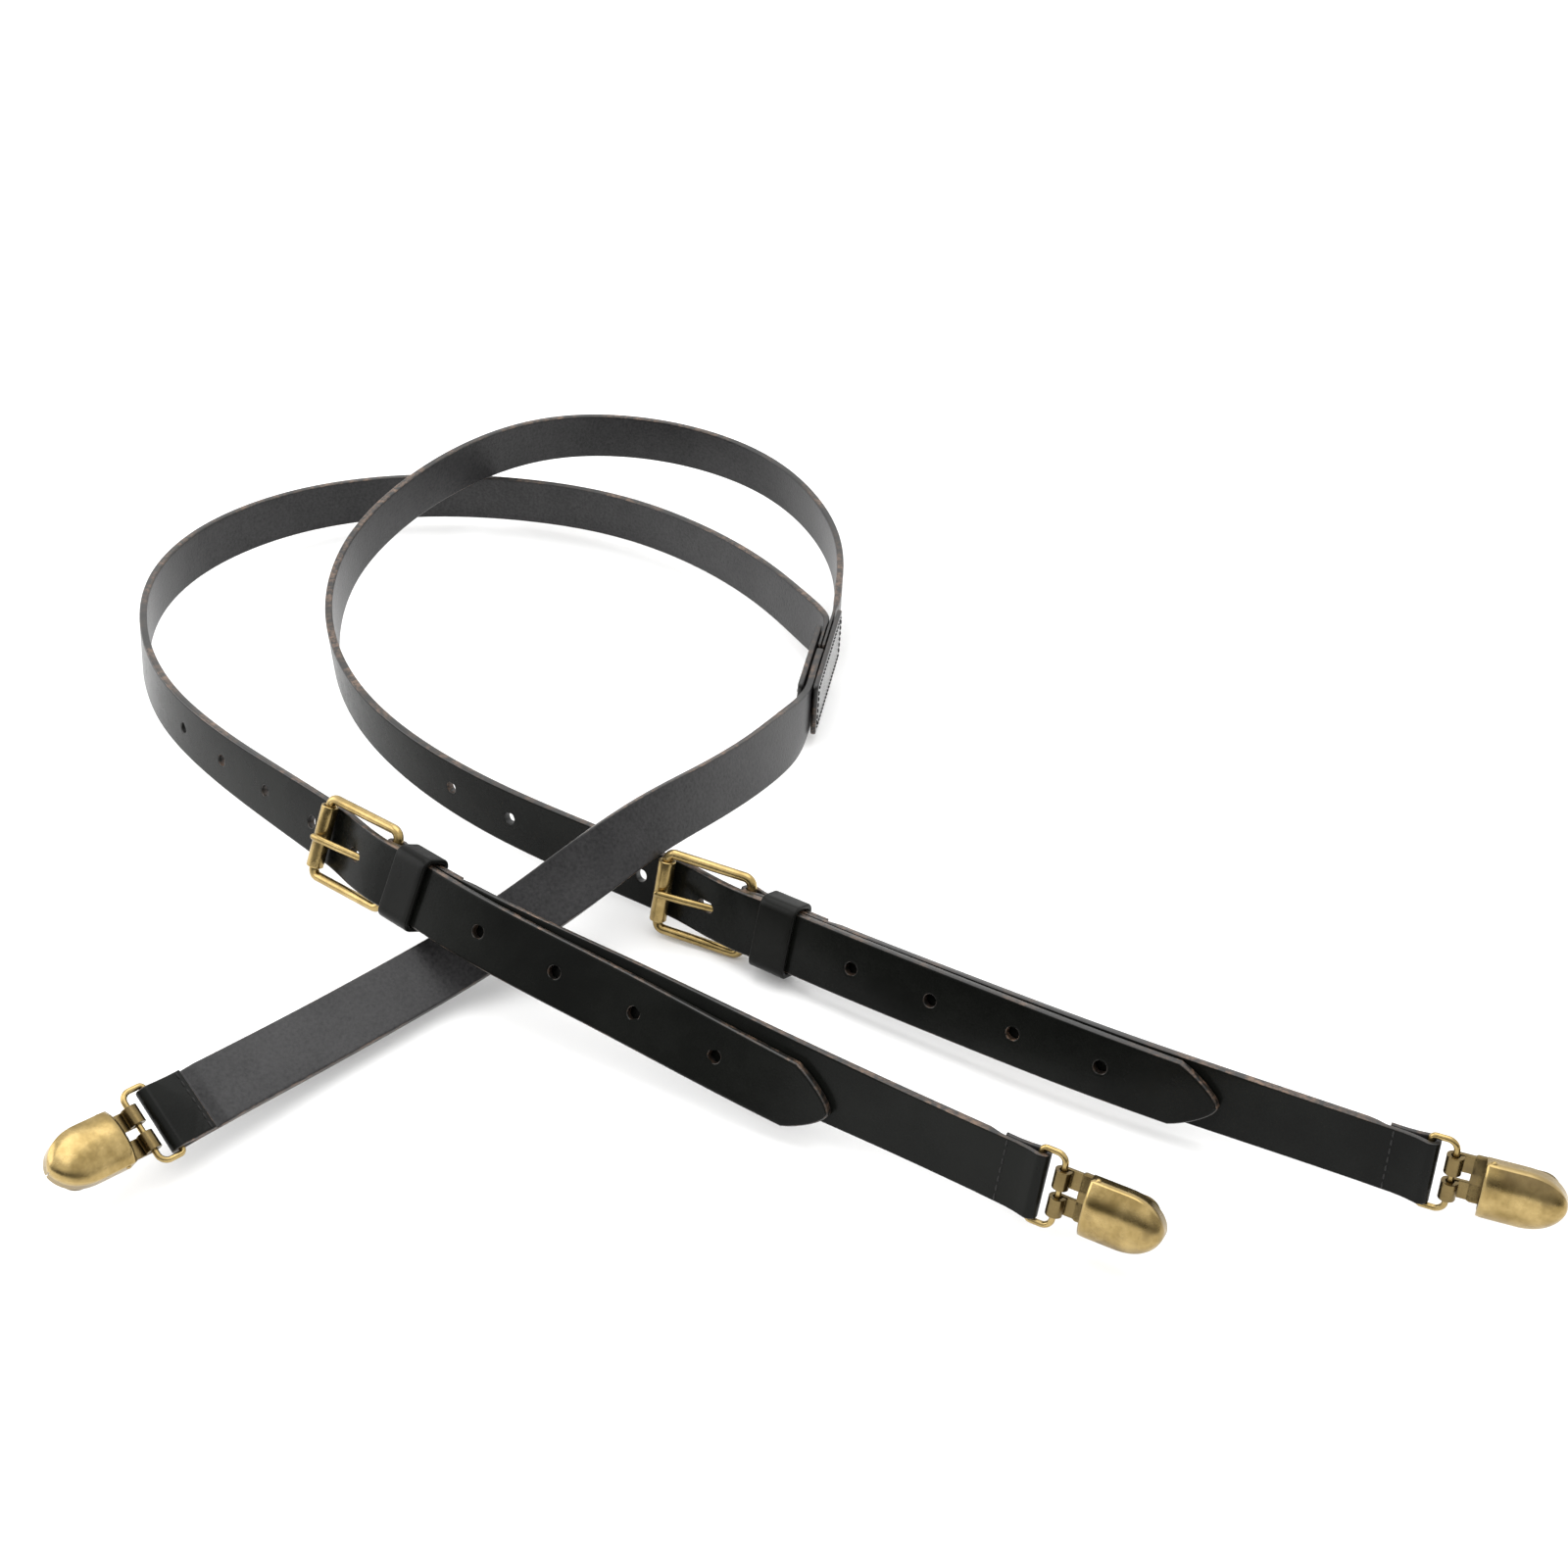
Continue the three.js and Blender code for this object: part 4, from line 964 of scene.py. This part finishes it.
def cover_part():
    """The domed lever: an arched skin, rounded at the nose, open below and behind."""
    rear, nose = COVER_REAR - PIN_ALONG, COVER_REAR + COVER_LENGTH - PIN_ALONG
    straight = nose - COVER_LENGTH * 0.56
    round_nose = (nose - straight) * np.sin(np.linspace(0, math.pi / 2, 22)) * 0.9995
    u = np.concatenate([np.linspace(rear, straight, 12)[:-1], straight + round_nose])
    v = np.sin(np.linspace(-math.pi / 2, math.pi / 2, 41))
    outer, inner = [], []
    for level, inset in ((outer, 0.0), (inner, COVER_WALL)):
        for x in u:
            over = max(0.0, (x - straight) / (nose - straight))
            narrow = max(0.0, 1 - over ** 2.35) ** 0.56
            half = max((COVER_WIDTH / 2 - inset) * narrow, 0.03)
            shoulder, rise = SHOULDER * narrow ** 0.38, (COVER_HEIGHT - SHOULDER) * narrow ** 0.6
            lip = 0.35 * math.exp(-((x - rear) / 0.8) ** 2)
            at, rim = min(x, nose - inset), -PIN_UP - RIM_DROP
            row = [(at, -half, rim)]
            for w in v:
                crown = shoulder + rise * (1 - abs(w) ** 2.6) - inset - lip
                row.append((at, half * w, -PIN_UP + max(0.02, crown)))
            level.append([*row, (at, half, rim)])
    outer, inner = np.array(outer), np.array(inner)
    count, size = outer.shape[:2]
    points = np.concatenate([outer.reshape(-1, 3), inner.reshape(-1, 3)])
    shift = count * size
    loops = []
    for i in range(count - 1):
        for j in range(size - 1):
            a, b = i * size + j, (i + 1) * size + j
            loops += [(a, b, b + 1, a + 1), (shift + a, shift + a + 1, shift + b + 1, shift + b)]
        for j in (0, size - 1):
            a, b = i * size + j, (i + 1) * size + j
            loops.append((a, shift + a, shift + b, b))
    for j in range(size - 1):
        loops.append((j, j + 1, shift + j + 1, shift + j))
        last = (count - 1) * size + j
        loops.append((last, shift + last, shift + last + 1, last + 1))
    return points, loops


def tilt(basis, angle, along=0.0):
    """A basis turned about its Y axis, its origin moved along its own X first."""
    origin, axes = basis
    origin = origin + axes[0] * along
    c, s = math.cos(math.radians(angle)), math.sin(math.radians(angle))
    return origin, np.array([axes[0] * c - axes[2] * s, axes[1], axes[0] * s + axes[2] * c])


def moved(basis, x, z):
    """A basis shifted in its own directions."""
    return basis[0] + basis[1][0] * x + basis[1][2] * z, basis[1]


rubber_paint = Paint("grip_rubber", Specular_IOR_Level=0.3)
rubber_fleck = rubber_paint.noise(rubber_paint.place(), 700, 3)
rubber_paint.set(
    Base_Color=rubber_paint.blend(rubber_fleck, (0.018, 0.018, 0.017), (0.035, 0.034, 0.032)),
    Roughness=0.7 + rubber_fleck * 0.15)
rubber_paint.bump(rubber_fleck, 0.3, 0.0001)

strap_ends = {side: basis_at(routes[side], places[side]["clip"], FOLD_CENTRE) for side in LOWER}
back_centre, back_axes = basis_at(back_route, back_clip, FOLD_CENTRE)
strap_ends["back"] = back_centre, back_axes * [[1], [-1], [-1]]
for side, strap_end in strap_ends.items():
    loop_basis = tilt(strap_end, HANG[side][0])
    body_basis = tilt(loop_basis, HANG[side][1], LOOP_DEPTH)
    pin_basis = moved(body_basis, PIN_ALONG, PIN_UP)
    jaw_basis = moved(body_basis, PIN_ALONG + EAR + GAP, PLATE_TOP + JAW_UP)

    outline = rounded(
        0, LOOP_DEPTH, -LOOP_HALF, LOOP_HALF, LOOP_CORNER, 12, left_corner=LOOP_STRAP_CORNER, gap=1.5)
    wire = tube(np.column_stack([outline, np.zeros(len(outline))]), LOOP_WIRE, 20, True)
    mesh = solid_mesh("clip_wire_" + side, [wire], loop_basis, brass)
    finished("clip_wire_" + side, mesh, "clip_loop_" + side, ["clip_wire_" + side])

    turn = np.radians(np.linspace(-90, -378, 40))
    outer = [(-PLATE_BOTTOM * math.cos(a), -PLATE_BOTTOM * math.sin(a)) for a in turn]
    inner = [(CURL * math.cos(a), CURL * math.sin(a)) for a in turn[::-1]]
    lug = np.array([(COVER_REAR, PLATE_BOTTOM), *outer, *inner, (COVER_REAR, PLATE_TOP)])
    parts = [prism(lug, way * NOTCH / 2, way * NECK / 2, "Y") for way in (-1, 1)]
    plate = rounded(COVER_REAR - 3.2, BASE_LENGTH, -BASE_WIDTH / 2, BASE_WIDTH / 2, 5, 10, left_corner=1.2)
    parts.append(prism(plate, PLATE_BOTTOM, PLATE_TOP, "Z"))
    for way in (-1, 1):
        y = way * (COVER_WIDTH / 2 - COVER_WALL - 3 * GAP - SHEET / 2)
        turn = np.radians(np.linspace(0, 180, 14))
        ear = [(PIN_ALONG + EAR * math.cos(a), PIN_UP + EAR * math.sin(a)) for a in turn]
        ear += [(PIN_ALONG - EAR - 0.4, PLATE_BOTTOM / 2), (PIN_ALONG + EAR + 0.4, PLATE_BOTTOM / 2)]
        parts.append(prism(ear, y - SHEET / 2, y + SHEET / 2, "Y"))
    for i in range(TOOTH_COUNT):
        y = (i - (TOOTH_COUNT - 1) / 2) * TOOTH_PITCH
        tooth = [(-2.0, PLATE_BOTTOM / 2), (-0.8, PLATE_BOTTOM / 2)]
        tooth += [(-1.1, PLATE_TOP + TOOTH_HEIGHT), (-1.5, PLATE_TOP + TOOTH_HEIGHT)]
        tooth = [(BASE_LENGTH + x, z) for x, z in tooth]
        parts.append(prism(tooth, y - 0.6, y + 0.6, "Y"))
    # The base is in the brass darkened as painted shade.
    mesh = softened_mesh("clip_base_" + side, parts, body_basis, brass_painted_shade)
    finished("clip_base_" + side, mesh, "clip_" + side, ["clip_base_" + side], smooth=False)

    head = [(0.001, 0.5), (0.351, 0.5), (PIN + 0.001, 0.1)]
    profile = [(r, -COVER_WIDTH / 2 - y) for r, y in head]
    profile += [(r, COVER_WIDTH / 2 + y) for r, y in reversed(head)]
    mesh = solid_mesh("clip_pin_" + side, [turned(profile, 24)], pin_basis, brass)
    finished("clip_pin_" + side, mesh, "clip_" + side, ["clip_pin_" + side])

    mesh = solid_mesh("clip_cover_" + side, [cover_part()], pin_basis, brass)
    finished("clip_cover_" + side, mesh, "cover_" + side, ["clip_cover_" + side])

    half = COVER_WIDTH / 2 - COVER_WALL - SHEET - 3 * GAP
    jaw = prism(rounded(0, JAW_LENGTH, -half, half, 0.8, 6), 0, JAW, "Z")
    # The jaw is in the brass darkened as painted shade.
    mesh = softened_mesh("clip_jaw_" + side, [jaw], jaw_basis, brass_painted_shade)
    finished("clip_jaw_" + side, mesh, "cover_" + side, ["clip_jaw_" + side], smooth=False)
    pad_bottom = GAP - JAW_UP
    pad = rounded(JAW_LENGTH - PAD, JAW_LENGTH, 0.5 - half, half - 0.5, 0.8, 6)
    parts = [prism(pad, pad_bottom + 0.35, -GAP, "Z")]
    for i in range(RIB_COUNT):
        x = JAW_LENGTH - PAD + 1.2 + i * RIB_PITCH
        rib = [(x, pad_bottom), (x + 0.8, pad_bottom)]
        rib += [(x + 1.0, pad_bottom + 0.5), (x - 0.2, pad_bottom + 0.5)]
        parts.append(prism(rib, 0.9 - half, half - 0.9, "Y"))
    mesh = softened_mesh("clip_pad_" + side, parts, jaw_basis, rubber_paint.material, 0.12)
    finished("clip_pad_" + side, mesh, "cover_" + side, ["clip_pad_" + side], smooth=False)
